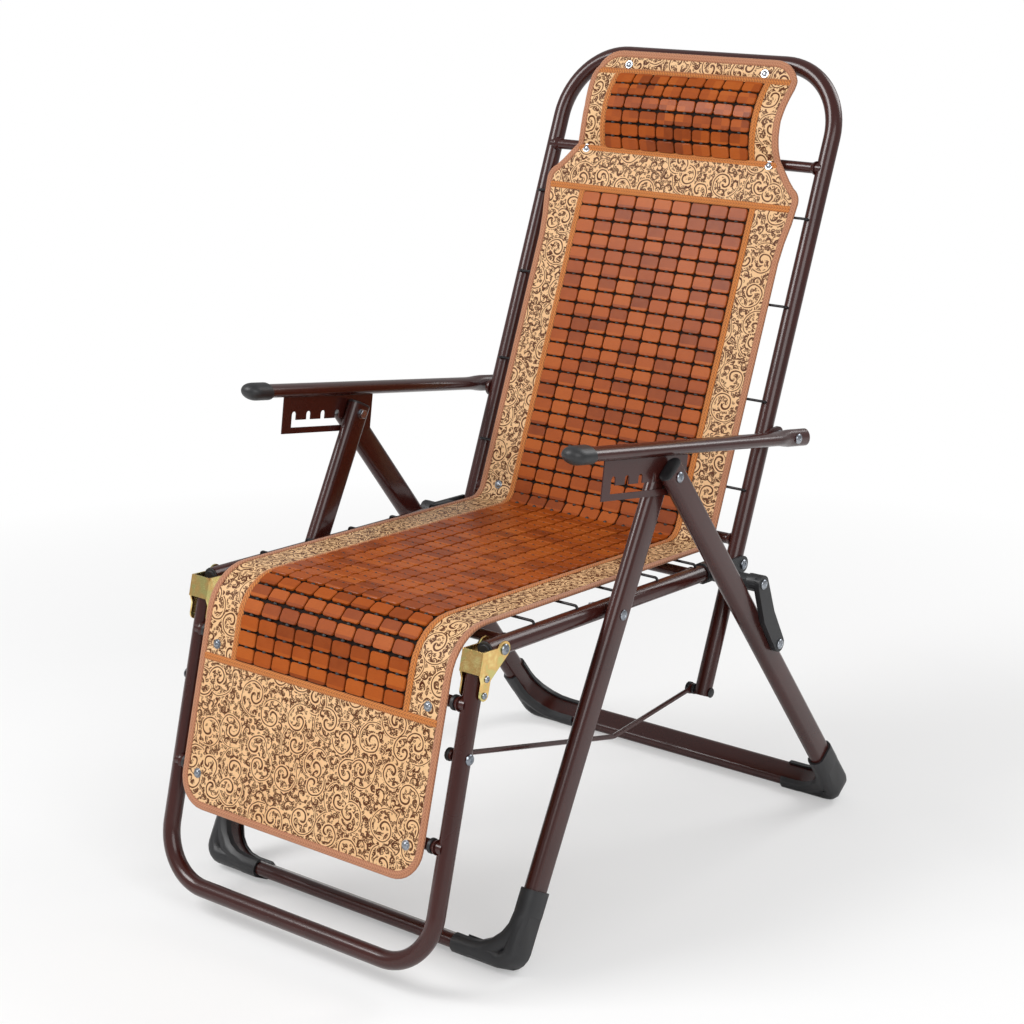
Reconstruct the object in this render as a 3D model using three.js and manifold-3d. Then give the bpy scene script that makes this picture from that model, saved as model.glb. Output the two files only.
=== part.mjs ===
import * as THREE from 'three';
import { mergeVertices } from 'three/addons/utils/BufferGeometryUtils.js';
import Module from 'manifold-3d';

// Folding recliner: a steel tube frame with a bamboo tile mat, a head pillow and a footrest.
// Millimetres. X runs across the seat, Y from the front to the back, Z up. The chair faces -Y.

const wasm = await Module();
wasm.setup();

// Places in the side plane, as Y and Z
const apexY = -53;
const apexZ = 624;
const frontBarY = -366;
const frontBarZ = 17.5;
const rearBarY = 414;
const rearBarZ = 19.5;
const railFrontY = -388;
const railFrontZ = 455;
const railRearY = 126;
const railRearZ = 438.5;
const backFootY = 106;
const backFootZ = 251;
const backTopY = 447.5;
const backTopZ = 1128.4;
const footrestTopY = -402;
const footrestTopZ = 434;
const footrestBarY = -504;
const footrestBarZ = 43;
const armPivotY = 266;
const armPivotZ = 613;
const linkLowY = 198;
const linkLowZ = 321;
const linkTopY = 150;
const linkTopZ = 424;
const rodFrontZ = 321;
const rodRearZ = 257;
const rodBendY = -83;
const rodBendZ = 239;
const hingeInset = 20;

// Sections
const clearance = 0.3;
const tubeRadius = 12.5;
const crossbarRadius = 8;
const wireRadius = 2;
const rodRadius = 3.75;
const legThickness = 20;
const legWidth = 40;
const legBend = 65;
const legTopLength = 13;
const backBend = 105;
const footrestBend = 78;
const tubeSides = 12;
const legSides = 12;
const smallSides = 6;
const bendSteps = 5;
const roundSteps = 8;
const cornerSteps = 4;

// Half distances across the chair, from its middle to each piece's centre
const railTrack = 250;
const footrestInset = 4;
const rodGap = 0.75;
const railLegGap = 6;
const legGap = 4;
const armLead = 11.5;
const footrestTrack = railTrack - footrestInset;
const rodTrack = footrestTrack - tubeRadius - rodGap - rodRadius;
const frontLegTrack = railTrack + tubeRadius + railLegGap + legThickness / 2;
const rearLegTrack = frontLegTrack + legThickness + legGap;
const armTrack = frontLegTrack + armLead;

// Bolts
const pinRadius = 4;
const headRadius = 7.5;
const headHeight = 3.4;
const nutRadius = 8;
const nutHeight = 6;

// Boots on the legs' floor bends
const bootWall = 4;
const bootBarLength = 28;
const bootLegLength = 34;
const bootOpenShare = 0.7;
const bootCornerBend = 15;
const bootInlay = 1;

// Wires that carry the mat
const wireStandoff = 4;
const wireSocketDepth = 6;
const wireHookInset = 0.6;
const backWireHeights = [535, 658, 790, 913];
const seatWirePlaces = [-290, -197, -105, -13, 80];

// Crossbars
const seatFrontBarY = -340;
const seatRearBarY = 84;
const backUpperBarZ = 986;
const backLowerBarZ = 467;
const footrestUpperBarZ = 387;
const footrestLowerBarZ = 205;
const footrestBarLead = 7;
const backUpperBarLead = 6;

// Back lug, seat end fitting, link and bracket
const lugThickness = 6;
const lugEyeRadius = 13;
const sleeveWall = 3;
const sleeveLength = 34;
const sleeveFloor = 3;
const cheekThickness = 5;
const cheekRadius = 12.5;
const hubRadius = 11;
const linkEyeRadius = 13;
const linkPlateThickness = 9;
const linkLowRadius = 12;
const linkBelly = 6;
const linkBellyRadius = 14;
const bracketWall = 2.5;
const bracketEyeRadius = 11;
const bracketFootRadius = 8.5;
const bracketFirstScrewZ = 425;
const bracketSecondScrewZ = 404;
const bracketWebRise = 24;
const bracketWebDrop = 6;
const bracketFillShare = 0.35;
const railCapLength = 4;

// Armrest
const armHalfWidth = 15.5;
const armHalfHeight = 10;
const armRearOver = 32;
const armFrontY = -255;
const armRiseShare = 0.15;
const armPinchLength = 78;
const armPinchHalfWidth = 9.5;
const armPinchHalfHeight = 13;
const armPinchLead = 14;
const armSides = 12;
const armSteps = 26;
const capWall = 3;
const capCover = 24;
const capNose = 18;
const capFit = 0.5;
const capSteps = 8;

// Ratchet plate, along and across the line of its notches
const plateThickness = 2;
const plateRear = 46;
const plateFront = 146;
const plateDrop = 28;
const notchPitch = 30.7;
const notchCount = 5;
const notchRadius = 4.6;
const toothDepth = 8;
const channelDrop = 19;
const samePlace = 0.03;

// Rods and their knobs
const rodBendRadius = 15;
const rodEyeRadius = 8;
const rodEyeThickness = 3;
const rodEyeReach = 9;
const knobRadius = 9;
const knobHeight = 8;
const knobRimShare = 0.75;

// Mat and pillow
const matThickness = 8;
const matHalfWidth = 222;
const matShoulderHalfWidth = 232;
const matNeckHalfWidth = 184;
const matHeadHalfWidth = 186;
const matHeadRadius = 45;
const matShoulderLength = 545;
const matShoulderRadius = 20;
const matShoulderRise = 80;
const matNeckLength = 592;
const matHeadLength = 742;
const matCreaseGap = 70;
const matSeatFrontGap = 34;
const matFootrestTopGap = 34;
const matFootrestLength = 258;
const matFootrestRadius = 46;
const pillowHalfWidth = 133;
const pillowHalfLength = 57;
const pillowMiddle = 651;
const pillowHalfDepth = 12;
const pillowEdgeHalfDepth = 3;
const pillowPuffShare = 0.55;
const pillowSquareness = 4;
const pillowDrawShare = 0.05;
const pillowColumns = 16;
const pillowRows = 10;

// Colours, as hexadecimal red, green and blue
const browned = { color: 0x3d1f1c, roughness: 0.3, metalness: 0.4 };
const blackPlastic = { color: 0x1b1a1b, roughness: 0.5, metalness: 0.0 };
const yellowZinc = { color: 0xc9a24a, roughness: 0.35, metalness: 0.9 };
const brightZinc = { color: 0xc8ccd0, roughness: 0.3, metalness: 0.9 };
const darkWire = { color: 0x17181b, roughness: 0.4, metalness: 0.5 };
const bambooTile = { color: 0x94431a, roughness: 0.35, metalness: 0.0 };
const printedCloth = { color: 0xd9b57e, roughness: 0.8, metalness: 0.0 };

const across = new THREE.Vector3(1, 0, 0);
const sides = { right: 1, left: -1 };

// A place in the side plane keeps Y in x and Z in y
const place = (y, z) => new THREE.Vector2(y, z);
const inSpace = (x, spot) => new THREE.Vector3(x, spot.x, spot.y);
const towards = (from, to) => to.clone().sub(from).normalize();
const moved = (spot, direction, distance) => spot.clone().addScaledVector(direction, distance);
const leftTurn = (direction) => new THREE.Vector2(-direction.y, direction.x);
const atHeight = (from, to, z) => from.clone().lerp(to, (z - from.y) / (to.y - from.y));
const atDepth = (from, to, y) => from.clone().lerp(to, (y - from.x) / (to.x - from.x));

// The place where two lines in the side plane cross
function crossing(a, b, c, d) {
  const first = b.clone().sub(a);
  const second = d.clone().sub(c);
  const share = c.clone().sub(a).cross(second) / first.cross(second);
  return a.clone().addScaledVector(first, share);
}

// The main lines and pivots of the side view
const apex = place(apexY, apexZ);
const frontBar = place(frontBarY, frontBarZ);
const rearBar = place(rearBarY, rearBarZ);
const railFront = place(railFrontY, railFrontZ);
const railRear = place(railRearY, railRearZ);
const backFoot = place(backFootY, backFootZ);
const backTop = place(backTopY, backTopZ);
const footrestTop = place(footrestTopY, footrestTopZ);
const footrestBar = place(footrestBarY, footrestBarZ);
const armPivot = place(armPivotY, armPivotZ);
const linkLow = place(linkLowY, linkLowZ);
const linkTop = place(linkTopY, linkTopZ);
const rodBend = place(rodBendY, rodBendZ);

const railward = towards(railFront, railRear);
const backward = towards(backFoot, backTop);
const downFootrest = towards(footrestTop, footrestBar);
const downFrontLeg = towards(apex, frontBar);
const downRearLeg = towards(apex, rearBar);
const railUp = leftTurn(railward);
const backFace = leftTurn(backward);
const footrestFace = leftTurn(downFootrest).negate();

const seatPivot = crossing(apex, frontBar, railFront, railRear);
const backPivot = crossing(backFoot, backTop, railFront, railRear);
const hingePivot = moved(railFront, railward, hingeInset);
const rodFront = atHeight(footrestTop, footrestBar, rodFrontZ);
const rodRear = atHeight(backFoot, backTop, rodRearZ);

// A path of straight runs joined by round bends, sampled only where it turns
class BentPath extends THREE.Curve {
  constructor(corners, bendRadius = 0) {
    super();
    this.places = [corners[0].clone()];
    this.headings = [corners[1].clone().sub(corners[0]).normalize()];
    for (let index = 1; index < corners.length - 1; index += 1) {
      this.addBend(corners[index - 1], corners[index], corners[index + 1], bendRadius);
    }
    const last = corners[corners.length - 1];
    this.places.push(last.clone());
    this.headings.push(last.clone().sub(corners[corners.length - 2]).normalize());
  }

  addBend(before, corner, after, radius) {
    const incoming = corner.clone().sub(before).normalize();
    const outgoing = after.clone().sub(corner).normalize();
    const turn = incoming.angleTo(outgoing);
    const axis = incoming.clone().cross(outgoing).normalize();
    const start = corner.clone().addScaledVector(incoming, -radius * Math.tan(turn / 2));
    const centre = start.clone().addScaledVector(axis.clone().cross(incoming), radius);
    for (let step = 0; step <= bendSteps; step += 1) {
      const angle = (turn * step) / bendSteps;
      this.places.push(start.clone().sub(centre).applyAxisAngle(axis, angle).add(centre));
      this.headings.push(incoming.clone().applyAxisAngle(axis, angle));
    }
  }

  get steps() {
    return this.places.length - 1;
  }

  getPoint(share) {
    return this.places[Math.round(share * this.steps)].clone();
  }

  getPointAt(share) {
    return this.getPoint(share);
  }

  getTangentAt(share) {
    return this.headings[Math.round(share * this.steps)].clone();
  }
}

// A round or flat-sided oval outline, as points round its middle
function ovalPoints(width, height, count) {
  const radius = Math.min(width, height) / 2;
  const points = [];
  for (let index = 0; index < count; index += 1) {
    const angle = ((index + 0.5) / count) * 2 * Math.PI;
    const x = radius * Math.cos(angle) + Math.sign(Math.cos(angle)) * (width / 2 - radius);
    const y = radius * Math.sin(angle) + Math.sign(Math.sin(angle)) * (height / 2 - radius);
    points.push(new THREE.Vector2(x, y));
  }
  return points;
}

function sweep(points, path) {
  const settings = { steps: path.steps, extrudePath: path, bevelEnabled: false };
  return new THREE.ExtrudeGeometry(new THREE.Shape(points), settings);
}

function roundTube(corners, radius, bendRadius = 0, count = tubeSides) {
  return sweep(ovalPoints(2 * radius, 2 * radius, count), new BentPath(corners, bendRadius));
}

// A flat plate: an outline in the side plane, taken across the chair between two values of X
function plate(shape, fromX, toX) {
  const depth = Math.abs(toX - fromX);
  const geometry = new THREE.ExtrudeGeometry(shape, { depth, steps: 1, bevelEnabled: false });
  const up = new THREE.Vector3(0, 0, 1);
  const back = new THREE.Vector3(0, 1, 0);
  geometry.applyMatrix4(new THREE.Matrix4().makeBasis(back, up, across));
  return geometry.translate(Math.min(fromX, toX), 0, 0);
}

// The outline round two circles and their two common tangents
function strap(from, to, fromRadius, toRadius) {
  const gap = to.clone().sub(from);
  const heading = gap.angle();
  const spread = Math.acos((fromRadius - toRadius) / gap.length());
  const points = [];
  const addArc = (centre, radius, start, end) => {
    for (let step = 0; step <= roundSteps; step += 1) {
      const angle = start + ((end - start) * step) / roundSteps;
      points.push(place(centre.x + radius * Math.cos(angle), centre.y + radius * Math.sin(angle)));
    }
  };
  addArc(to, toRadius, heading - spread, heading + spread);
  addArc(from, fromRadius, heading + spread, heading + 2 * Math.PI - spread);
  return new THREE.Shape(points);
}

// A turned piece on an axis across the chair: pairs of distance from the middle and radius
function turned(spot, side, profile, count = tubeSides) {
  const points = profile.map(([distance, radius]) => new THREE.Vector2(radius, distance));
  const start = new THREE.Vector2(0, profile[0][0]);
  const end = new THREE.Vector2(0, profile[profile.length - 1][0]);
  const geometry = new THREE.LatheGeometry([start, ...points, end], count);
  geometry.rotateZ((-side * Math.PI) / 2);
  return geometry.translate(0, spot.x, spot.y);
}

function bar(spot, halfLength, radius, count = tubeSides) {
  return roundTube([inSpace(-halfLength, spot), inSpace(halfLength, spot)], radius, 0, count);
}

// A hole across the chair on both sides, through the named layer
function holes(spot, track, halfDepth, radius = pinRadius + clearance) {
  return Object.values(sides).map((side) => {
    const ends = [track - halfDepth, track + halfDepth].map((x) => inSpace(side * x, spot));
    return roundTube(ends, radius);
  });
}

function toSolid(geometry) {
  const bare = geometry.index ? geometry.clone() : geometry;
  bare.deleteAttribute('normal');
  bare.deleteAttribute('uv');
  const merged = mergeVertices(bare);
  const vertProperties = new Float32Array(merged.attributes.position.array);
  const triVerts = new Uint32Array(merged.index.array);
  return new wasm.Manifold(new wasm.Mesh({ numProp: 3, vertProperties, triVerts }));
}

function toGeometry(solid) {
  const mesh = solid.getMesh();
  const geometry = new THREE.BufferGeometry();
  geometry.setAttribute('position', new THREE.BufferAttribute(mesh.vertProperties, 3));
  geometry.setIndex(new THREE.BufferAttribute(mesh.triVerts, 1));
  geometry.computeVertexNormals();
  return geometry;
}

function joined(first, ...others) {
  return toGeometry(others.reduce((solid, other) => solid.add(toSolid(other)), toSolid(first)));
}

function cut(body, ...tools) {
  return toGeometry(tools.reduce((solid, tool) => solid.subtract(toSolid(tool)), toSolid(body)));
}

const recliner = new THREE.Group();

function add(name, geometry, finish) {
  const mesh = new THREE.Mesh(geometry, new THREE.MeshStandardMaterial(finish));
  mesh.name = name;
  recliner.add(mesh);
}

function addPair(name, build, finish) {
  for (const [word, side] of Object.entries(sides)) {
    add(`${name}_${word}`, build(side), finish);
  }
}

// The U of tube that starts and ends at the top place and crosses at the bar place
function looped(track, top, crossPlace) {
  const corners = [inSpace(-track, top), inSpace(-track, crossPlace)];
  corners.push(inSpace(track, crossPlace), inSpace(track, top));
  return corners;
}

// Leg frames: flat oval tube bent into a U that stands on its boots
function legFrame(track, down, floorPlace, pivots) {
  const top = moved(apex, down, -legTopLength);
  const section = ovalPoints(legThickness, legWidth, legSides);
  const frame = sweep(section, new BentPath(looped(track, top, floorPlace), legBend));
  return cut(frame, ...pivots.flatMap((pivot) => holes(pivot, track, legThickness)));
}

add('front_leg_frame', legFrame(frontLegTrack, downFrontLeg, frontBar, [apex, seatPivot]), browned);
add('rear_leg_frame', legFrame(rearLegTrack, downRearLeg, rearBar, [apex, linkLow]), browned);

// Boots: a square-cornered shell round each floor bend, open along the tube's inner flank, flat below
function boot(side, track, down, floorPlace) {
  const sleeve = (width, height, inset, over, bend = legBend - inset) => {
    const cross = moved(floorPlace, down, -inset);
    const top = moved(floorPlace, down, -(legBend + bootLegLength + over));
    const middle = track - legBend - bootBarLength - over;
    const corners = [inSpace(side * (track - inset), top), inSpace(side * (track - inset), cross)];
    corners.push(inSpace(side * middle, cross));
    return sweep(ovalPoints(width, height, legSides), new BentPath(corners, bend));
  };
  const deep = legThickness + 2 * bootWall;
  const wide = legWidth + 2 * bootWall;
  const corner = sleeve(deep - bootInlay, wide - bootInlay, 0, -bootInlay, bootCornerBend);
  const shell = joined(sleeve(deep, wide, 0, 0), corner);
  const bore = sleeve(legThickness + 2 * clearance, legWidth + 2 * clearance, 0, bootWall);
  const mouth = sleeve(legThickness, bootOpenShare * legWidth, legThickness / 2 + bootWall, bootWall);
  const groundWidth = 2 * (track + legWidth);
  const ground = new THREE.BoxGeometry(groundWidth, groundWidth, legWidth);
  ground.translate(0, floorPlace.x, -legWidth / 2);
  return cut(shell, bore, mouth, ground);
}

addPair('front_boot', (side) => boot(side, frontLegTrack, downFrontLeg, frontBar), blackPlastic);
addPair('rear_boot', (side) => boot(side, rearLegTrack, downRearLeg, rearBar), blackPlastic);

// Apex joint: a bolt in the rear leg and a nut in the front leg, either side of the ratchet plate
const frontLegOuter = frontLegTrack + legThickness / 2;
const frontLegInner = frontLegTrack - legThickness / 2;
const rearLegInner = rearLegTrack - legThickness / 2;
const rearLegOuter = rearLegTrack + legThickness / 2;

function headProfile(seat, outward) {
  const base = seat + outward * clearance;
  const top = base + outward * headHeight;
  const rows = [[base, headRadius], [(base + top) / 2, headRadius], [top, headRadius / 2]];
  return outward > 0 ? rows : rows.reverse();
}

function nutProfile(seat, outward) {
  const base = seat + outward * clearance;
  const rows = [[base, nutRadius], [base + outward * nutHeight, nutRadius]];
  return outward > 0 ? rows : rows.reverse();
}

function bolt(side, spot, seats) {
  const shank = [[seats.inner - clearance, pinRadius], [seats.outer + clearance, pinRadius]];
  const inner = seats.innerEnd === 'nut' ? nutProfile(seats.inner, -1) : [];
  const outer = seats.outerEnd === 'head' ? headProfile(seats.outer, 1) : [];
  const start = inner.length ? [] : [[seats.inner, pinRadius]];
  const end = outer.length ? [] : [[seats.outer, pinRadius]];
  const middle = [...(inner.length ? [shank[0]] : start), ...(outer.length ? [shank[1]] : end)];
  return turned(spot, side, [...inner, ...middle, ...outer]);
}

const apexBolt = { inner: rearLegInner, outer: rearLegOuter, innerEnd: 'none', outerEnd: 'head' };
const apexNut = { inner: frontLegInner, outer: frontLegOuter, innerEnd: 'nut', outerEnd: 'none' };
addPair('apex_bolt', (side) => bolt(side, apex, apexBolt), brightZinc);
addPair('apex_nut', (side) => bolt(side, apex, apexNut), brightZinc);

// Seat frame: two rails, two crossbars and the sockets of the wires
const wireReach = tubeRadius + wireStandoff;

function sockets(spot, outward, track) {
  return Object.values(sides).map((side) => {
    const mouth = moved(spot, outward, tubeRadius + wireRadius);
    const floor = moved(spot, outward, tubeRadius - wireSocketDepth);
    const ends = [inSpace(side * track, mouth), inSpace(side * track, floor)];
    return roundTube(ends, wireRadius + clearance, 0, smallSides);
  });
}

const seatWireSpots = seatWirePlaces.map((y) => atDepth(railFront, railRear, y));
const backWireSpots = backWireHeights.map((z) => atHeight(backFoot, backTop, z));

function seatFrame() {
  const rails = Object.values(sides).map((side) => {
    return roundTube([railFront, railRear].map((spot) => inSpace(side * railTrack, spot)), tubeRadius);
  });
  const bars = [seatFrontBarY, seatRearBarY].map((y) => {
    return bar(atDepth(railFront, railRear, y), railTrack - tubeRadius / 2, crossbarRadius);
  });
  const frame = joined(rails[0], bars[0], rails[1], bars[1]);
  const pins = [seatPivot, hingePivot].flatMap((pivot) => holes(pivot, railTrack, 2 * tubeRadius));
  const mouths = seatWireSpots.flatMap((spot) => sockets(spot, railUp, railTrack));
  return cut(frame, ...pins, ...mouths);
}

add('seat_frame', seatFrame(), browned);

function endCap(side) {
  const outward = railward.clone().negate();
  const base = moved(railFront, outward, clearance);
  const rim = moved(base, outward, railCapLength / 2);
  const face = moved(base, outward, railCapLength);
  const body = roundTube([base, rim].map((spot) => inSpace(side * railTrack, spot)), tubeRadius);
  const nose = roundTube([base, face].map((spot) => inSpace(side * railTrack, spot)), crossbarRadius);
  return joined(body, nose);
}

addPair('rail_cap', endCap, blackPlastic);

const seatBolt = {
  inner: railTrack - tubeRadius, outer: frontLegOuter, innerEnd: 'nut', outerEnd: 'none',
};
addPair('seat_pivot_bolt', (side) => bolt(side, seatPivot, seatBolt), brightZinc);

// Wires: each is hooked into a socket in the tube at both ends and runs straight across
function wire(spot, outward) {
  const floor = moved(spot, outward, tubeRadius - wireSocketDepth + wireHookInset);
  const height = moved(spot, outward, wireReach);
  const corners = [inSpace(-railTrack, floor), inSpace(-railTrack, height)];
  corners.push(inSpace(railTrack, height), inSpace(railTrack, floor));
  return roundTube(corners, wireRadius, wireStandoff, smallSides);
}

seatWireSpots.forEach((spot, index) => add(`seat_wire_${index + 1}`, wire(spot, railUp), darkWire));
backWireSpots.forEach((spot, index) => add(`back_wire_${index + 1}`, wire(spot, backFace), darkWire));

// Back frame: an upturned U with two crossbars and a lug for each armrest
const lugInner = railTrack + tubeRadius - lugThickness / 2;
const lugOuter = lugInner + lugThickness;

function backFrame() {
  const hoop = roundTube(looped(railTrack, backFoot, backTop), tubeRadius, backBend);
  const upperSpot = moved(atHeight(backFoot, backTop, backUpperBarZ), backFace, backUpperBarLead);
  const upper = bar(upperSpot, railTrack - tubeRadius / 2, crossbarRadius);
  const lowerSpot = atHeight(backFoot, backTop, backLowerBarZ);
  const lower = bar(lowerSpot, railTrack - tubeRadius / 2, crossbarRadius);
  const root = atHeight(backFoot, backTop, armPivotZ);
  const outline = strap(root, armPivot, lugEyeRadius, lugEyeRadius);
  const lugs = Object.values(sides).map((side) => plate(outline, side * lugInner, side * lugOuter));
  const frame = joined(hoop, upper, lower, ...lugs);
  const pins = [backPivot, rodRear].flatMap((pivot) => holes(pivot, railTrack, 2 * tubeRadius));
  const eyes = holes(armPivot, railTrack, 2 * tubeRadius);
  const mouths = backWireSpots.flatMap((spot) => sockets(spot, backFace, railTrack));
  return cut(frame, ...pins, ...eyes, ...mouths);
}

add('back_frame', backFrame(), browned);

// Seat end fitting: a sleeve over the rail's end, a cheek to the back's pivot and a boss for the link
const cheekInner = railTrack + tubeRadius + clearance;
const cheekOuter = cheekInner + cheekThickness;
const linkInner = rearLegInner + nutHeight;
const bossEnd = linkInner - clearance;

function endFitting(side) {
  const rearFace = moved(railRear, railward, clearance + sleeveFloor);
  const frontFace = moved(rearFace, railward, -sleeveLength);
  const middle = moved(rearFace, railward, -sleeveLength / 2);
  const onTrack = (spot) => inSpace(side * railTrack, spot);
  const sleeve = roundTube([onTrack(frontFace), onTrack(rearFace)], tubeRadius + clearance + sleeveWall);
  const outline = strap(middle, backPivot, cheekRadius, cheekRadius);
  const cheek = plate(outline, side * cheekInner, side * cheekOuter);
  const boss = turned(linkTop, side, [[cheekInner, hubRadius], [bossEnd, hubRadius]]);
  const body = joined(sleeve, cheek, boss);
  const outside = moved(frontFace, railward, -sleeveFloor);
  const socket = roundTube(
    [onTrack(outside), onTrack(moved(railRear, railward, clearance))], tubeRadius + clearance,
  );
  return cut(body, socket, ...holes(backPivot, railTrack, legWidth));
}

addPair('seat_end_fitting', endFitting, blackPlastic);

const backBolt = {
  inner: railTrack - tubeRadius, outer: cheekOuter, innerEnd: 'nut', outerEnd: 'head',
};
addPair('back_pivot_bolt', (side) => bolt(side, backPivot, backBolt), brightZinc);

// Link between the rear leg and the seat's end fitting
const linkPlateInner = rearLegOuter + clearance;
const linkOuter = linkPlateInner + linkPlateThickness;

function link(side) {
  const upward = towards(linkLow, linkTop);
  const belly = moved(linkLow.clone().lerp(linkTop, 1 / 2), leftTurn(upward), linkBelly);
  const lower = strap(linkLow, belly, linkLowRadius, linkBellyRadius);
  const upper = strap(belly, linkTop, linkBellyRadius, linkEyeRadius);
  const halves = [lower, upper].map((outline) => plate(outline, side * linkPlateInner, side * linkOuter));
  const hub = turned(linkTop, side, [[linkInner, linkEyeRadius], [linkOuter, linkEyeRadius]]);
  const joint = joined(...halves, hub);
  const pins = [linkLow, linkTop].flatMap((spot) => holes(spot, rearLegTrack, legWidth));
  return cut(joint, ...pins);
}

addPair('link', link, blackPlastic);

const linkLowBolt = { inner: rearLegInner, outer: linkOuter, innerEnd: 'nut', outerEnd: 'head' };
const linkTopBolt = { inner: linkInner, outer: linkOuter, innerEnd: 'none', outerEnd: 'head' };
addPair('link_lower_bolt', (side) => bolt(side, linkLow, linkLowBolt), brightZinc);
addPair('link_top_bolt', (side) => bolt(side, linkTop, linkTopBolt), brightZinc);

// Armrest: an oval tube that rises to the front and is pinched flat at its rear pivot
const armRearY = armPivotY + armRearOver;

function armHeight(y) {
  return armPivotZ + armRiseShare * (armPivotY - y);
}

function armSection(y) {
  const share = THREE.MathUtils.smoothstep(y, armRearY - armPinchLength, armPivotY - armPinchLead);
  return {
    halfWidth: THREE.MathUtils.lerp(armHalfWidth, armPinchHalfWidth, share),
    halfHeight: THREE.MathUtils.lerp(armHalfHeight, armPinchHalfHeight, share),
  };
}

function armBody(side, fromY, toY, grow, nose, steps) {
  const geometry = new THREE.CylinderGeometry(1, 1, 1, armSides, steps);
  const unit = geometry.attributes.position;
  for (let index = 0; index < unit.count; index += 1) {
    const y = THREE.MathUtils.lerp(fromY, toY, unit.getY(index) + 0.5);
    const section = armSection(y);
    const inNose = nose > 0 ? Math.max(0, (toY + nose - y) / nose) : 0;
    const round = Math.sqrt(Math.max(0, 1 - inNose ** 2 * (1 - 1 / armSides)));
    const x = unit.getX(index) * (section.halfWidth + grow) * round;
    const z = unit.getZ(index) * (section.halfHeight + grow) * round;
    unit.setXYZ(index, side * armTrack + x, y, armHeight(y) - z);
  }
  return geometry;
}

function armrest(side) {
  const body = armBody(side, armRearY, armFrontY, 0, 0, armSteps);
  return cut(body, ...holes(armPivot, armTrack, legWidth));
}

function armCap(side) {
  const rear = armFrontY + capCover;
  const tip = armFrontY - capNose;
  const shell = armBody(side, rear, tip, capWall, capNose, capSteps);
  return cut(shell, armBody(side, rear + capWall, armFrontY - capFit, capFit, 0, capSteps));
}

addPair('armrest', armrest, browned);
addPair('arm_cap', armCap, blackPlastic);

function armBolt(side) {
  const armInner = armTrack - armPinchHalfWidth;
  const armOuter = armTrack + armPinchHalfWidth;
  const collar = [[lugOuter + clearance, nutRadius], [armInner - clearance, nutRadius]];
  const shank = [[lugInner, pinRadius], [lugOuter + clearance, pinRadius]];
  const outerShank = [[armInner - clearance, pinRadius], [armOuter + clearance, pinRadius]];
  const head = headProfile(armOuter, 1);
  return turned(armPivot, side, [...shank, ...collar, ...outerShank, ...head]);
}

addPair('arm_pivot_bolt', armBolt, brightZinc);

// Ratchet plate: hangs under the armrest between the legs, with a notched slot for the apex pin
const plateInner = frontLegOuter + (legGap - plateThickness) / 2;
const plateOuter = plateInner + plateThickness;
const notchward = place(-1, armRiseShare).normalize();
const plateUp = place(armRiseShare, 1).normalize();

function plateSpot(forward, up) {
  return apex.clone().addScaledVector(notchward, forward).addScaledVector(plateUp, up);
}

function ratchetPlate(side) {
  const above = place(apexY, armHeight(apexY)).sub(apex).dot(plateUp);
  const top = above - armHalfHeight - clearance;
  const corners = [[-plateRear, top], [plateFront, top], [plateFront, -plateDrop], [-plateRear, -plateDrop]];
  const shape = new THREE.Shape(corners.map(([forward, up]) => plateSpot(forward, up)));
  const lastNotch = (notchCount - 1) * notchPitch;
  const slot = [plateSpot(-notchRadius, -channelDrop), plateSpot(lastNotch + notchRadius, -channelDrop)];
  for (let notch = notchCount - 1; notch >= 0; notch -= 1) {
    const middle = notch * notchPitch;
    slot.push(plateSpot(middle + notchRadius, notch === notchCount - 1 ? 0 : -toothDepth));
    for (let step = 0; step <= roundSteps; step += 1) {
      const angle = (Math.PI * step) / roundSteps;
      slot.push(plateSpot(middle + notchRadius * Math.cos(angle), notchRadius * Math.sin(angle)));
    }
    slot.push(plateSpot(middle - notchRadius, notch === 0 ? 0 : -toothDepth));
  }
  const distinct = slot.filter((spot, index) => {
    return index === 0 || spot.distanceTo(slot[index - 1]) > samePlace;
  });
  shape.holes.push(new THREE.Path(distinct));
  return plate(shape, side * plateInner, side * plateOuter);
}

addPair('ratchet_plate', ratchetPlate, browned);

// Footrest frame: a U of tube with two crossbars that carry the mat's flap
function footrestFrame() {
  const hoop = roundTube(looped(footrestTrack, footrestTop, footrestBar), tubeRadius, footrestBend);
  const bars = [footrestUpperBarZ, footrestLowerBarZ].map((z) => {
    const spot = moved(atHeight(footrestTop, footrestBar, z), footrestFace, footrestBarLead);
    return bar(spot, footrestTrack - tubeRadius / 2, crossbarRadius);
  });
  return cut(joined(hoop, ...bars), ...holes(rodFront, footrestTrack, 2 * tubeRadius));
}

add('footrest_frame', footrestFrame(), browned);

// Hinge bracket: two plates joined by a web in front, screwed to the footrest and pinned to the rail
const bracketOuter = railTrack + tubeRadius + clearance + bracketWall;
const bracketInner = footrestTrack - tubeRadius - clearance - bracketWall;

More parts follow.
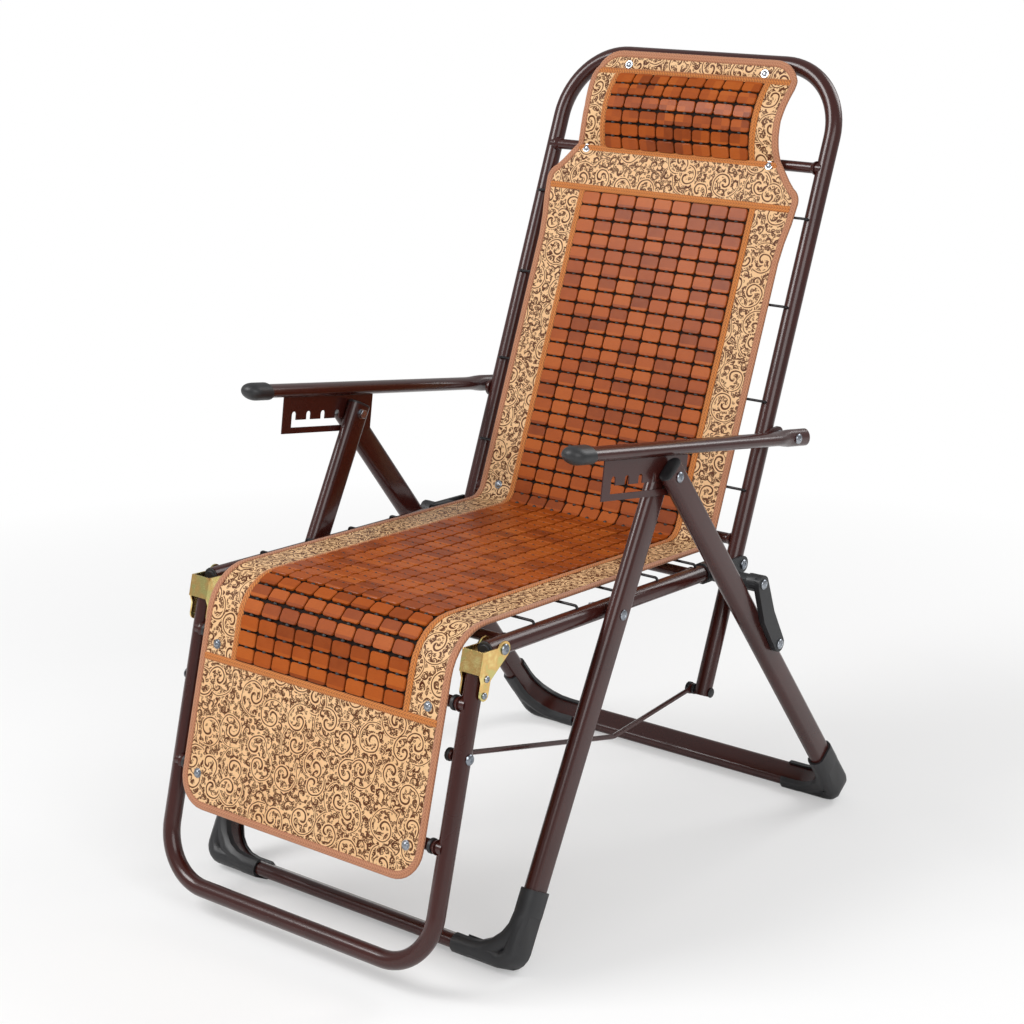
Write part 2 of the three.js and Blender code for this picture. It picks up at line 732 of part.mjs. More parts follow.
function hingeBracket(side) {
  const first = atHeight(footrestTop, footrestBar, bracketFirstScrewZ);
  const second = atHeight(footrestTop, footrestBar, bracketSecondScrewZ);
  const webOffset = tubeRadius + clearance;
  const webTop = moved(footrestTop, downFootrest, -bracketWebRise);
  const webFoot = moved(footrestTop, downFootrest, bracketWebDrop);
  const strip = new THREE.Shape([
    moved(webTop, footrestFace, webOffset), moved(webTop, footrestFace, webOffset + bracketWall),
    moved(webFoot, footrestFace, webOffset + bracketWall), moved(webFoot, footrestFace, webOffset),
  ]);
  const web = plate(strip, side * bracketInner, side * bracketOuter);
  const sidePlate = (fromX, toX) => {
    const arm = plate(strap(hingePivot, first, bracketEyeRadius, bracketFootRadius), fromX, toX);
    const foot = plate(strap(first, second, bracketFootRadius, bracketFootRadius), fromX, toX);
    const fill = new THREE.Shape([
      hingePivot, moved(hingePivot, railUp, bracketEyeRadius * bracketFillShare),
      moved(webTop, footrestFace, webOffset + bracketWall / 2),
      moved(webFoot, footrestFace, webOffset + bracketWall / 2), second,
    ]);
    return [arm, foot, plate(fill, fromX, toX)];
  };
  const outerPieces = sidePlate(side * (bracketOuter - bracketWall), side * bracketOuter);
  const innerPieces = sidePlate(side * bracketInner, side * (bracketInner + bracketWall));
  const body = joined(web, ...outerPieces, ...innerPieces);
  return cut(body, ...holes(hingePivot, railTrack, legWidth));
}

addPair('hinge_bracket', hingeBracket, yellowZinc);

const hingeBolt = { inner: bracketInner, outer: bracketOuter, innerEnd: 'nut', outerEnd: 'head' };
addPair('hinge_bolt', (side) => bolt(side, hingePivot, hingeBolt), brightZinc);

// Rods: each joins the footrest to the back's lower end, so the two move together
const rodEyeInner = rodTrack + rodRadius - rodEyeThickness;
const rodEyeOuter = rodTrack + rodRadius;

function rod(side) {
  const fromFront = towards(rodFront, rodBend);
  const fromRear = towards(rodRear, rodBend);
  const start = moved(rodFront, fromFront, rodEyeReach);
  const end = moved(rodRear, fromRear, rodEyeReach);
  const corners = [start, rodBend, end].map((spot) => inSpace(side * rodTrack, spot));
  const body = roundTube(corners, rodRadius, rodBendRadius, smallSides);
  const eyeX = [side * rodEyeInner, side * rodEyeOuter];
  const eyes = [[rodFront, start], [rodRear, end]].map(([centre, neck]) => {
    return plate(strap(centre, neck, rodEyeRadius, rodRadius), ...eyeX);
  });
  const pins = [rodFront, rodRear].flatMap((spot) => holes(spot, rodTrack, tubeRadius));
  return cut(joined(body, ...eyes), ...pins);
}

addPair('rod', rod, browned);

function knob(outerFace) {
  const seat = rodEyeInner - clearance;
  return [
    [seat - knobHeight, knobRadius / 2], [seat - knobRimShare * knobHeight, knobRadius],
    [seat, knobRadius], [seat, pinRadius], [outerFace, pinRadius],
  ];
}

addPair('rod_knob', (side) => turned(rodFront, side, knob(rodEyeOuter)), blackPlastic);

function rodRearBolt(side) {
  const tubeInner = railTrack - tubeRadius;
  const collar = [[rodEyeOuter + clearance, nutRadius], [tubeInner - clearance, nutRadius]];
  const shank = [[tubeInner - clearance, pinRadius], [railTrack + tubeRadius + clearance, pinRadius]];
  const inner = knob(rodEyeOuter + clearance);
  return turned(rodRear, side, [...inner, ...collar, ...shank, ...headProfile(railTrack + tubeRadius, 1)]);
}

addPair('rod_rear_bolt', rodRearBolt, blackPlastic);

const rodFrontBolt = {
  inner: footrestTrack - tubeRadius, outer: footrestTrack + tubeRadius, innerEnd: 'none', outerEnd: 'head',
};
addPair('rod_front_bolt', (side) => bolt(side, rodFront, rodFrontBolt), brightZinc);

// Mat: its back, seat and footrest stretches lie on the wires, clear of the creases between them
const matUnder = wireReach + wireRadius + clearance;

// Lays a plate, drawn as X and length, on the line from an origin, raised along its face
function laid(shape, origin, along, face, raise, thickness) {
  const geometry = new THREE.ExtrudeGeometry(shape, {
    depth: thickness, bevelEnabled: false, curveSegments: cornerSteps,
  });
  const alongAxis = inSpace(0, along);
  const faceAxis = across.clone().cross(alongAxis);
  const flip = Math.sign(faceAxis.dot(inSpace(0, face)));
  const lift = moved(origin, face, flip > 0 ? raise : raise + thickness);
  const basis = new THREE.Matrix4().makeBasis(across, alongAxis, faceAxis);
  return geometry.applyMatrix4(basis.setPosition(0, lift.x, lift.y));
}

function mirroredShape(half) {
  const rest = half.slice().reverse().map((spot) => new THREE.Vector2(-spot.x, spot.y));
  return new THREE.Shape([...half, ...rest]);
}

function corner(x, y, radius, startShare, endShare) {
  const points = [];
  for (let step = 0; step <= cornerSteps; step += 1) {
    const share = startShare + ((endShare - startShare) * step) / cornerSteps;
    const angle = 2 * Math.PI * share;
    points.push(new THREE.Vector2(x + radius * Math.cos(angle), y + radius * Math.sin(angle)));
  }
  return points;
}

const quarterShare = 1 / 4;
const backMatHalf = [
  new THREE.Vector2(matHalfWidth, matCreaseGap),
  new THREE.Vector2(matHalfWidth, matShoulderLength - matShoulderRise),
  ...corner(matShoulderHalfWidth - matShoulderRadius, matShoulderLength - matShoulderRadius,
    matShoulderRadius, 0, quarterShare),
  new THREE.Vector2(matNeckHalfWidth, matNeckLength),
  ...corner(matHeadHalfWidth - matHeadRadius, matHeadLength - matHeadRadius, matHeadRadius, 0, quarterShare),
];
const backMat = laid(mirroredShape(backMatHalf), backPivot, backward, backFace, matUnder, matThickness);
add('mat_back', backMat, bambooTile);

const seatLength = hingePivot.distanceTo(backPivot);
const seatMatHalf = [
  new THREE.Vector2(matHalfWidth, matSeatFrontGap),
  new THREE.Vector2(matHalfWidth, seatLength - matCreaseGap),
];
const seatMat = laid(mirroredShape(seatMatHalf), hingePivot, railward, railUp, matUnder, matThickness);
add('mat_seat', seatMat, bambooTile);

const flapBend = matFootrestTopGap + matFootrestLength - matFootrestRadius;
const flapHalf = [
  new THREE.Vector2(matHalfWidth, matFootrestTopGap),
  ...corner(matHalfWidth - matFootrestRadius, flapBend, matFootrestRadius, 0, quarterShare),
];
const flapUnder = footrestBarLead + crossbarRadius + clearance;
const flap = laid(
  mirroredShape(flapHalf), footrestTop, downFootrest, footrestFace, flapUnder, matThickness,
);
add('mat_footrest', flap, bambooTile);

// Pillow: a crowned cushion with drawn-in sides, tied over the mat's head
function pillow() {
  const geometry = new THREE.BoxGeometry(2, 2, 2, pillowColumns, pillowRows, 1);
  const unit = geometry.attributes.position;
  for (let index = 0; index < unit.count; index += 1) {
    const u = unit.getX(index);
    const v = unit.getY(index);
    const puff = ((1 - u ** pillowSquareness) * (1 - v ** pillowSquareness)) ** pillowPuffShare;
    const depth = THREE.MathUtils.lerp(pillowEdgeHalfDepth, pillowHalfDepth, puff);
    const x = u * pillowHalfWidth * (1 - pillowDrawShare * (1 - v ** 2));
    const y = v * pillowHalfLength * (1 - pillowDrawShare * (1 - u ** 2));
    unit.setXYZ(index, x, y, unit.getZ(index) * depth);
  }
  const middle = moved(backPivot, backward, pillowMiddle);
  const rest = moved(middle, backFace, matUnder + matThickness + clearance + pillowHalfDepth);
  const alongAxis = inSpace(0, backward);
  const basis = new THREE.Matrix4().makeBasis(across, alongAxis, across.clone().cross(alongAxis));
  return geometry.applyMatrix4(basis.setPosition(0, rest.x, rest.y));
}

add('pillow', pillow(), printedCloth);

// Stands the chair with the middle of its outline over the origin
const outline = new THREE.Box3().setFromObject(recliner);
recliner.position.y = -(outline.min.y + outline.max.y) / 2;
recliner.updateMatrixWorld(true);

export default recliner;
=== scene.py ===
"""Folding recliner with a bamboo tile mat, dressed over its fixed frame.

Metres. X runs across the seat, Y from the front to the back, Z up, and the chair faces -Y.
"""

from __future__ import annotations

import logging  # noqa: E402
import math  # noqa: E402
import random  # noqa: E402
from dataclasses import dataclass, field  # noqa: E402
from enum import Enum  # noqa: E402
from typing import Any, Callable, Iterable, Sequence  # noqa: E402

import bmesh  # noqa: E402
import bpy  # noqa: E402
from mathutils import Matrix, Vector  # noqa: E402


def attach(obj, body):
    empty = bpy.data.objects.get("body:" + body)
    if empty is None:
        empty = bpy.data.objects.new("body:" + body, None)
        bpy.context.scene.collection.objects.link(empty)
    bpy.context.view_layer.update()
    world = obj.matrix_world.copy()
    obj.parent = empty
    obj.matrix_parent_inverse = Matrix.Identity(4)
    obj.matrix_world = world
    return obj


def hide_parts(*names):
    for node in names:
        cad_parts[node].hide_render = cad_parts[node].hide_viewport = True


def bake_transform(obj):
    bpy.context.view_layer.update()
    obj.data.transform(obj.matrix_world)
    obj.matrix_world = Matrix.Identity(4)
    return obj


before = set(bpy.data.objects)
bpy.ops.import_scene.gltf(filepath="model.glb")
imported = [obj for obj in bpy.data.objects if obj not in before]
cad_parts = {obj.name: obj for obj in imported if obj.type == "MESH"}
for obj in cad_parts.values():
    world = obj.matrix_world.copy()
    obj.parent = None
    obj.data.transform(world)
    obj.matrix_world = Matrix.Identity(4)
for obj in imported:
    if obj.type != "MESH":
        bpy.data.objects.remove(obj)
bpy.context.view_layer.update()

LOG = logging.getLogger("recliner")
MM = 0.001
ACROSS = Vector((1, 0, 0))
SIDES = {"right": 1, "left": -1}
Colour = tuple[float, float, float]


# Shader nodes


def from_screen(red: int, green: int, blue: int) -> Colour:
    """Turns a screen colour, 0 to 255, into the linear colour that the shader takes.

    Args:
        red: the red share.
        green: the green share.
        blue: the blue share.

    Returns:
        The linear colour.
    """
    shares = (value / 255 for value in (red, green, blue))
    return tuple(s / 12.92 if s <= 0.04045 else ((s + 0.055) / 1.055) ** 2.4 for s in shares)


class Signal:
    """A node's output, which adds Math nodes when it is used in a sum."""

    def __init__(self, graph: Graph, link: bpy.types.NodeSocket) -> None:
        """Keeps the output and the graph that it belongs to.

        Args:
            graph: the material's graph.
            link: the node's output.
        """
        self.graph = graph
        self.link = link

    def maths(self, operation: str, *others: Signal | float) -> Signal:
        """Adds one Math node after this output.

        Args:
            operation: the Math node's operation.
            others: the other values of the sum.

        Returns:
            The node's value.
        """
        values = dict(enumerate((self, *others)))
        return self.graph.node("ShaderNodeMath", {"operation": operation}, values)

    def __add__(self, other: Signal | float) -> Signal:
        """This value plus another."""
        return self.maths("ADD", other)

    __radd__ = __add__

    def __sub__(self, other: Signal | float) -> Signal:
        """This value less another."""
        return self.maths("SUBTRACT", other)

    def __rsub__(self, other: float) -> Signal:
        """Another value less this one."""
        return self.graph.node("ShaderNodeMath", {"operation": "SUBTRACT"}, {0: other, 1: self})

    def __mul__(self, other: Signal | float) -> Signal:
        """This value times another."""
        return self.maths("MULTIPLY", other)

    __rmul__ = __mul__

    def __truediv__(self, other: Signal | float) -> Signal:
        """This value over another."""
        return self.maths("DIVIDE", other)

    def __rtruediv__(self, other: float) -> Signal:
        """Another value over this one."""
        return self.graph.node("ShaderNodeMath", {"operation": "DIVIDE"}, {0: other, 1: self})

    def __lt__(self, other: Signal | float) -> Signal:
        """One where this value is below another, and else zero."""
        return self.maths("LESS_THAN", other)

    def __gt__(self, other: Signal | float) -> Signal:
        """One where this value is above another, and else zero."""
        return self.maths("GREATER_THAN", other)

    def __abs__(self) -> Signal:
        """This value without its sign."""
        return self.maths("ABSOLUTE")


class Graph:
    """A material and its nodes."""

    def __init__(self, name: str) -> None:
        """Starts a material with a plain surface shader.

        Args:
            name: the material's name.
        """
        self.material = bpy.data.materials.new(name)
        self.material.use_nodes = True
        self.tree = self.material.node_tree
        self.tree.nodes.clear()
        self.surface = self.tree.nodes.new("ShaderNodeBsdfPrincipled")
        self.output = self.tree.nodes.new("ShaderNodeOutputMaterial")
        self.tree.links.new(self.surface.outputs[0], self.output.inputs[0])

    def node(
        self,
        kind: str,
        settings: dict[str, Any] | None = None,
        inputs: dict[int | str, Any] | None = None,
        output: int | str = 0,
    ) -> Signal:
        """Adds any node.

        Args:
            kind: the node's type.
            settings: its settings, with a ramp's stops under "stops".
            inputs: the values or signals of its sockets, by name or number.
            output: the output to use.

        Returns:
            That output.
        """
        made = self.tree.nodes.new(kind)
        for key, value in (settings or {}).items():
            if key == "stops":
                ramp = made.color_ramp.elements
                while len(ramp) < len(value):
                    ramp.new(1)
                for stop, (place, colour) in zip(ramp, value):
                    stop.position = place
                    stop.color = (*colour, 1)
            else:
                setattr(made, key, value)
        for key, value in (inputs or {}).items():
            self.feed(made.inputs[key], value)
        return Signal(self, made.outputs[output])

    def feed(self, socket: bpy.types.NodeSocket, value: Any) -> None:
        """Links a signal to a socket, or sets its value.

        Args:
            socket: the socket.
            value: the signal, number, colour or vector.
        """
        if isinstance(value, Signal):
            self.tree.links.new(value.link, socket)
        elif socket.type == "RGBA" and len(value) == 3:
            socket.default_value = (*value, 1)
        else:
            socket.default_value = value

    def set(self, **values: Any) -> None:
        """Sets the surface's own sockets, by their names with _ for a space.

        Args:
            values: the values or signals.
        """
        for key, value in values.items():
            self.feed(self.surface.inputs[key.replace("_", " ")], value)

    def mix(self, mask: Signal | float, first: Any, second: Any, blend: str = "MIX") -> Signal:
        """Mixes two colours.

        Args:
            mask: the share of the second.
            first: the first colour.
            second: the second colour.
            blend: the way of mixing.

        Returns:
            The mixed colour.
        """
        settings = {"data_type": "RGBA", "blend_type": blend}
        return self.node("ShaderNodeMix", settings, {0: mask, 6: first, 7: second}, 2)

    def where(self) -> Signal:
        """The place on the object."""
        return self.node("ShaderNodeTexCoord", output="Object")

    def flat(self) -> Signal:
        """The place on the flat cloth, in metres, from the piece's own map."""
        return self.node("ShaderNodeUVMap", {"uv_map": "flat"})

    def scaled(self, vector: Signal, scale: Sequence[float], shift: Sequence[float] = (0, 0, 0)) -> Signal:
        """Scales and shifts a place.

        Args:
            vector: the place.
            scale: the scale along each axis.
            shift: what is added after scaling.

        Returns:
            The new place.
        """
        return self.node("ShaderNodeMapping", None, {0: vector, "Scale": scale, "Location": shift})

    def split(self, vector: Signal) -> tuple[Signal, Signal, Signal]:
        """The three values of a vector.

        Args:
            vector: the vector.

        Returns:
            Its X, Y and Z.
        """
        made = self.node("ShaderNodeSeparateXYZ", None, {0: vector}).link.node
        return tuple(Signal(self, made.outputs[index]) for index in range(3))

    def noise(self, vector: Signal, scale: float, detail: float = 3, rough: float = 0.5) -> Signal:
        """Cloudy variation from 0 to 1.

        Args:
            vector: the place.
            scale: how many clouds a metre.
            detail: how many finer layers.
            rough: how strong the finer layers are.

        Returns:
            The variation.
        """
        inputs = {"Vector": vector, "Scale": scale, "Detail": detail, "Roughness": rough}
        return self.node("ShaderNodeTexNoise", None, inputs)

    def bump(self, height: Signal, strength: float, distance: float) -> Signal:
        """Bumps from a height.

        Args:
            height: the height, 0 to 1.
            strength: how strong the bumps are.
            distance: how high they are, in metres.

        Returns:
            The normal.
        """
        inputs = {"Strength": strength, "Distance": distance, "Height": height}
        return self.node("ShaderNodeBump", None, inputs)


# Finishes


@dataclass(frozen=True)
class Paint:
    """Glossy baked paint on steel tube."""

    name: str = "chocolate_paint"
    colour: Colour = from_screen(66, 25, 20)
    deep: Colour = from_screen(46, 17, 14)
    roughness: float = 0.26

    def build(self) -> bpy.types.Material:
        """Makes the material."""
        graph = Graph(self.name)
        place = graph.where()
        clouds = graph.noise(place, 14)
        fine = graph.noise(place, 900, 2)
        graph.set(
            Base_Color=graph.mix(clouds, self.colour, self.deep),
            Roughness=clouds * 0.12 + self.roughness - 0.06,
            Specular_IOR_Level=0.4,
            Coat_Weight=0.2,
            Coat_Roughness=0.1,
            Normal=graph.bump(fine, 0.12, 0.0004),
        )
        return graph.material


@dataclass(frozen=True)
class Moulding:
    """Moulded plastic with a fine grain."""

    name: str
    colour: Colour
    worn: Colour
    roughness: float = 0.45

    def build(self) -> bpy.types.Material:
        """Makes the material."""
        graph = Graph(self.name)
        place = graph.where()
        clouds = graph.noise(place, 40)
        grain = graph.node("ShaderNodeTexVoronoi", None, {"Vector": place, "Scale": 1400})
        graph.set(
            Base_Color=graph.mix(clouds * clouds, self.colour, self.worn),
            Roughness=clouds * 0.15 + self.roughness - 0.07,
            Normal=graph.bump(grain, 0.15, 0.0003),
        )
        return graph.material


@dataclass(frozen=True)
class Plating:
    """Zinc plating, plain or with the colours of a passivated coat."""

    name: str
    colour: Colour
    tints: tuple[Colour, ...]
    roughness: float = 0.28

    def build(self) -> bpy.types.Material:
        """Makes the material."""
        graph = Graph(self.name)
        place = graph.where()
        clouds = graph.noise(place, 45, 2, 0.6)
        stops = [(0.25 + 0.5 * index / len(self.tints), tint) for index, tint in enumerate(self.tints)]
        tint = graph.node("ShaderNodeValToRGB", {"stops": stops}, {0: clouds})
        streaks = graph.noise(graph.scaled(place, (1, 1, 9)), 260, 2)
        graph.set(
            Base_Color=graph.mix(0.6, self.colour, tint),
            Metallic=1.0,
            Roughness=streaks * 0.2 + self.roughness - 0.1,
            Normal=graph.bump(streaks, 0.08, 0.0003),
        )
        return graph.material


@dataclass(frozen=True)
class Wire:
    """Dark drawn wire with a thin coat."""

    name: str = "dark_wire"
    colour: Colour = from_screen(38, 36, 38)
    rub: Colour = from_screen(92, 88, 86)

    def build(self) -> bpy.types.Material:
        """Makes the material."""
        graph = Graph(self.name)
        marks = graph.noise(graph.scaled(graph.where(), (60, 900, 900)), 1, 4)
        graph.set(
            Base_Color=graph.mix((marks > 0.62) * 0.5, self.colour, self.rub),
            Metallic=0.6,
            Roughness=marks * 0.2 + 0.28,
            Normal=graph.bump(marks, 0.1, 0.0002),
        )
        return graph.material


@dataclass(frozen=True)
class Bamboo:
    """Carbonised bamboo tiles, each with its own tint and grain."""

    pitch_x: float
    pitch_d: float
    name: str = "bamboo_tile"
    shades: tuple[Colour, ...] = (
        from_screen(122, 50, 8),
        from_screen(150, 66, 12),
        from_screen(168, 78, 16),
        from_screen(180, 90, 26),
    )

    def build(self) -> bpy.types.Material:
        """Makes the material."""
        graph = Graph(self.name)
        flat = graph.flat()
        cells = graph.scaled(flat, (1 / self.pitch_x, 1 / self.pitch_d, 1), (0.5, 0, 0))
        tile = graph.node("ShaderNodeVectorMath", {"operation": "FLOOR"}, {0: cells})
        chance = graph.node("ShaderNodeTexWhiteNoise", {"noise_dimensions": "2D"}, {"Vector": tile})
        stops = [(index / 3, shade) for index, shade in enumerate(self.shades)]
        tint = graph.node("ShaderNodeValToRGB", {"stops": stops}, {0: chance})
        fibres = graph.noise(graph.scaled(flat, (0.14, 1, 1)), 900, 4, 0.6)
        clouds = graph.noise(flat, 60)
        grain = graph.mix(fibres * 0.45, tint, from_screen(84, 30, 8))
        graph.set(
            Base_Color=graph.mix(clouds * 0.25, grain, from_screen(190, 100, 40)),
            Roughness=fibres * 0.14 + 0.34,
            Specular_IOR_Level=0.16,
            Coat_Weight=0.07,
            Coat_Roughness=0.16,
            Normal=graph.bump(fibres, 0.12, 0.0003),
        )
        return graph.material


@dataclass(frozen=True)
class Print:
    """Satin cloth with an all-over print of scrolls and curls, painted dark where the tiles lie on it, for
    the black cords and the shade in the gaps between the tiles.
    """

    panels: tuple[tuple[float, float, float], ...]
    name: str = "printed_cloth"
    # The ground's colour in shade, and below it its colour in light; clouds mix the two in random patches, a
    # painted light and shade.
    ground: Colour = from_screen(214, 168, 120)
    ground_painted_light: Colour = from_screen(234, 196, 150)
    ink: Colour = from_screen(74, 26, 2)
    # Dark colour under the tiles: the black cords, and a painted shade in the gaps between the tiles.
    cord_and_gap_shade: Colour = from_screen(26, 14, 8)

    def scrolls(self, graph: Graph, flat: Signal, pitch: float, turns: float, width: float) -> Signal:
        """Spirals, one in each cell of a jumbled pattern.

        Args:
            graph: the material's graph.
            flat: the place on the flat cloth.
            pitch: the cells' size in metres.
            turns: how fast the spiral opens.
            width: the line's width as a share of the cell.

        Returns:
            One on the lines, and zero off them.
        """
        settings = {"voronoi_dimensions": "2D"}
        inputs = {"Scale": 1 / pitch, "Randomness": 0.75, "Vector": flat}
        cell = graph.node("ShaderNodeTexVoronoi", settings, inputs, "Position")
        tint = Signal(graph, cell.link.node.outputs["Color"])
        offset = graph.node("ShaderNodeVectorMath", {"operation": "SUBTRACT"}, {0: flat, 1: cell})
        across, along, _ = graph.split(offset)
        chance, other, _ = graph.split(tint)
        reach = Signal(graph, cell.link.node.outputs["Distance"])
        flip = (other > 0.5) * 2 - 1
        angle = (across * flip).maths("ARCTAN2", along) / math.tau + chance
        phase = (angle + reach * turns).maths("FRACT")
        line = abs(phase - 0.5) < (width / (reach + 0.12))
        return line * (reach < 0.62) * (reach > 0.05)

    def hooks(self, graph: Graph, flat: Signal, pitch: float) -> Signal:
        """Small open curls, each with a dot at its end.

        Args:
            graph: the material's graph.
            flat: the place on the flat cloth.
            pitch: the cells' size in metres.

        Returns:
            One on the curls, and zero off them.
        """
        settings = {"voronoi_dimensions": "2D"}
        inputs = {"Scale": 1 / pitch, "Randomness": 0.9, "Vector": flat}
        cell = graph.node("ShaderNodeTexVoronoi", settings, inputs, "Position")
        tint = Signal(graph, cell.link.node.outputs["Color"])
        reach = Signal(graph, cell.link.node.outputs["Distance"])
        offset = graph.node("ShaderNodeVectorMath", {"operation": "SUBTRACT"}, {0: flat, 1: cell})
        across, along, _ = graph.split(offset)
        chance, _, _ = graph.split(tint)
        turn = (across.maths("ARCTAN2", along) / math.tau + chance).maths("FRACT")
        arc = (abs(reach - 0.34 + turn * 0.16) < 0.075) * (turn < 0.72)
        dot = reach < 0.13
        return arc.maths("MAXIMUM", dot)

    def build(self) -> bpy.types.Material:
        """Makes the material."""
        graph = Graph(self.name)
        flat = graph.flat()
        sway = graph.noise(flat, 34, 2)
        drift = Signal(graph, sway.link.node.outputs["Color"])
        waver = graph.node("ShaderNodeVectorMath", {"operation": "SCALE"}, {0: drift, "Scale": 0.006})
        swayed = graph.node("ShaderNodeVectorMath", {"operation": "ADD"}, {0: flat, 1: waver})
        large = self.scrolls(graph, swayed, 0.046, 2.6, 0.024)
        middle = self.scrolls(graph, swayed, 0.019, 1.8, 0.05)
        coarse = self.hooks(graph, graph.scaled(swayed, (1, 1, 1), (3.1, 1.7, 0)), 0.0105)
        small = self.hooks(graph, flat, 0.0074).maths("MAXIMUM", coarse)
        gap = self.scrolls(graph, swayed, 0.046, 2.6, 0.075)
        inked = large.maths("MAXIMUM", middle * (1 - gap)).maths("MAXIMUM", small * (1 - gap))
        across, along, _ = graph.split(flat)
        # Where the tiles lie; the cloth is painted dark there, for the cords and the shade in the gaps.
        covered = 0.0
        for half, top, end in self.panels:
            covered = (abs(across) < half) * (along > top) * (along < end) + covered
        clouds = graph.noise(flat, 11)
        weave = graph.node("ShaderNodeTexWave", {"bands_direction": "X"}, {"Vector": flat, "Scale": 420})
        weft = graph.node("ShaderNodeTexWave", {"bands_direction": "Y"}, {"Vector": flat, "Scale": 420})
        # Painted light and shade: the ground's lit and shaded colours in random cloud patches.
        ground = graph.mix(clouds, self.ground, self.ground_painted_light)
        fade = graph.noise(flat, 70, 2) * 0.2 + 0.84
        cloth = graph.mix(inked * fade, ground, self.ink)
        threads = weave * weft
        graph.set(
            Base_Color=graph.mix(covered, cloth, self.cord_and_gap_shade),
            Roughness=threads * 0.12 + covered * 0.3 + 0.36,
            Specular_IOR_Level=0.14,
            Normal=graph.bump(threads + inked * 0.6, 0.25, 0.0003),
        )
        return graph.material


@dataclass(frozen=True)
class Braid:
    """Woven tape with a chain of slanting stitches."""

    name: str
    colour: Colour
    # The darker colour: a painted shade in the grooves between the threads, and also mixed in at random by
    # clouds.
    shade: Colour
    stitch: float = 0.0048

    def build(self) -> bpy.types.Material:
        """Makes the material."""
        graph = Graph(self.name)
        flat = graph.flat()
        across, along, _ = graph.split(flat)
        slant = abs(across.maths("PINGPONG", self.stitch)) * 1.2
        rows = ((along + slant) / self.stitch).maths("FRACT")
        ridge = (rows * math.pi).maths("SINE")
        lanes = abs(((across / self.stitch) * math.pi).maths("SINE"))
        threads = ridge * 0.7 + lanes * 0.3
        clouds = graph.noise(flat, 120)
        # The tops of the threads take the tape's colour and the grooves between them the shade colour, a
        # painted shade.
        thread_shading = graph.mix(threads, self.shade, self.colour)
        graph.set(
            Base_Color=graph.mix(clouds * 0.3, thread_shading, self.shade),
            Roughness=0.78 - threads * 0.15,
            Sheen_Weight=0.2,
            Normal=graph.bump(threads, 0.6, 0.0006),
        )
        return graph.material


class Slot(Enum):
    """The record's material slots."""

    PAINT = "brown_paint"
    PLASTIC = "black_plastic"
    YELLOW = "yellow_zinc"
    ZINC = "bright_zinc"
    WIRE = "dark_wire"
    BAMBOO = "bamboo"
    CLOTH = "printed_cloth"
    BINDING = "edge_binding"
    TAPE = "orange_tape"


class Stock:
    """The finishes, each made once."""

    def __init__(self, mat: MatLine) -> None:
        """Makes each finish.

        Args:
            mat: the mat's line, for the place of its tiles.
        """
        panels = (
            (mat.panel_half, mat.panel_top, mat.panel_end), (mat.head_half, mat.head_top, mat.head_end),
        )
        black = Moulding("black_plastic", from_screen(28, 28, 30), from_screen(48, 48, 50))
        bright = (from_screen(148, 154, 162), from_screen(176, 180, 186), from_screen(124, 132, 142))
        passivated = (
            from_screen(226, 190, 96), from_screen(244, 226, 160), from_screen(222, 170, 110),
            from_screen(188, 192, 130),
        )
        finishes = {
            Slot.PAINT: Paint(),
            Slot.PLASTIC: black,
            Slot.YELLOW: Plating("yellow_zinc", from_screen(236, 208, 128), passivated, 0.24),
            Slot.ZINC: Plating("bright_zinc", from_screen(160, 164, 170), bright),
            Slot.WIRE: Wire(),
            Slot.BAMBOO: Bamboo(mat.pitch_x, mat.pitch_d),
            Slot.CLOTH: Print(panels),
            Slot.BINDING: Braid("edge_binding", from_screen(192, 132, 94), from_screen(134, 78, 50)),
            Slot.TAPE: Braid("orange_tape", from_screen(214, 128, 44), from_screen(110, 52, 8)),
        }
        self.made = {slot: finish.build() for slot, finish in finishes.items()}

    def __getitem__(self, slot: Slot) -> bpy.types.Material:
        """The material of a slot."""
        return self.made[slot]


# Places in the side plane


def side_place(y: float, z: float) -> Vector:
    """A place in the side plane, from millimetres of the chair's layout.

    Args:
        y: how far back it is.
        z: how high it is.

    Returns:
        The place in metres, with the layout's shift.
    """
    return Vector((0, y * MM + LAYOUT_SHIFT, z * MM))


LAYOUT_SHIFT = 0.028287


@dataclass(frozen=True)
class Run:
    """A straight line in the side plane."""

    start: Vector
    end: Vector

    @property
    def heading(self) -> Vector:
        """The line's direction."""
        return (self.end - self.start).normalized()

    @property
    def left(self) -> Vector:
        """The direction a quarter turn to the left of the line's own."""
        return Vector((0, -self.heading.z, self.heading.y))

    def at(self, distance: float, raised: float = 0, x: float = 0) -> Vector:
        """A place along the line.

        Args:
            distance: how far from its start.
            raised: how far to its left.
            x: how far across the chair.

        Returns:
            The place.
        """
        return self.start + self.heading * distance + self.left * raised + ACROSS * x

    def at_height(self, z: float) -> Vector:
        """The place where the line is at a height.

        Args:
            z: the height in metres.

        Returns:
            The place.
        """
        return self.start + (self.end - self.start) * ((z - self.start.z) / (self.end.z - self.start.z))

    def at_depth(self, y: float) -> Vector:
        """The place where the line is at a depth.

        Args:
            y: the depth in metres.

        Returns:
            The place.
        """
        return self.start + (self.end - self.start) * ((y - self.start.y) / (self.end.y - self.start.y))

    def crossing(self, other: Run) -> Vector:
        """The place where two lines cross.

        Args:
            other: the other line.

        Returns:
            The place.
        """
        gap = other.start - self.start
        first, second = self.heading, other.heading
        share = (gap.y * second.z - gap.z * second.y) / (first.y * second.z - first.z * second.y)
        return self.start + first * share

    def raised(self, distance: float) -> Run:
        """The line moved to its left.

        Args:
            distance: how far.

        Returns:
            The new line.
        """
        return Run(self.start + self.left * distance, self.end + self.left * distance)


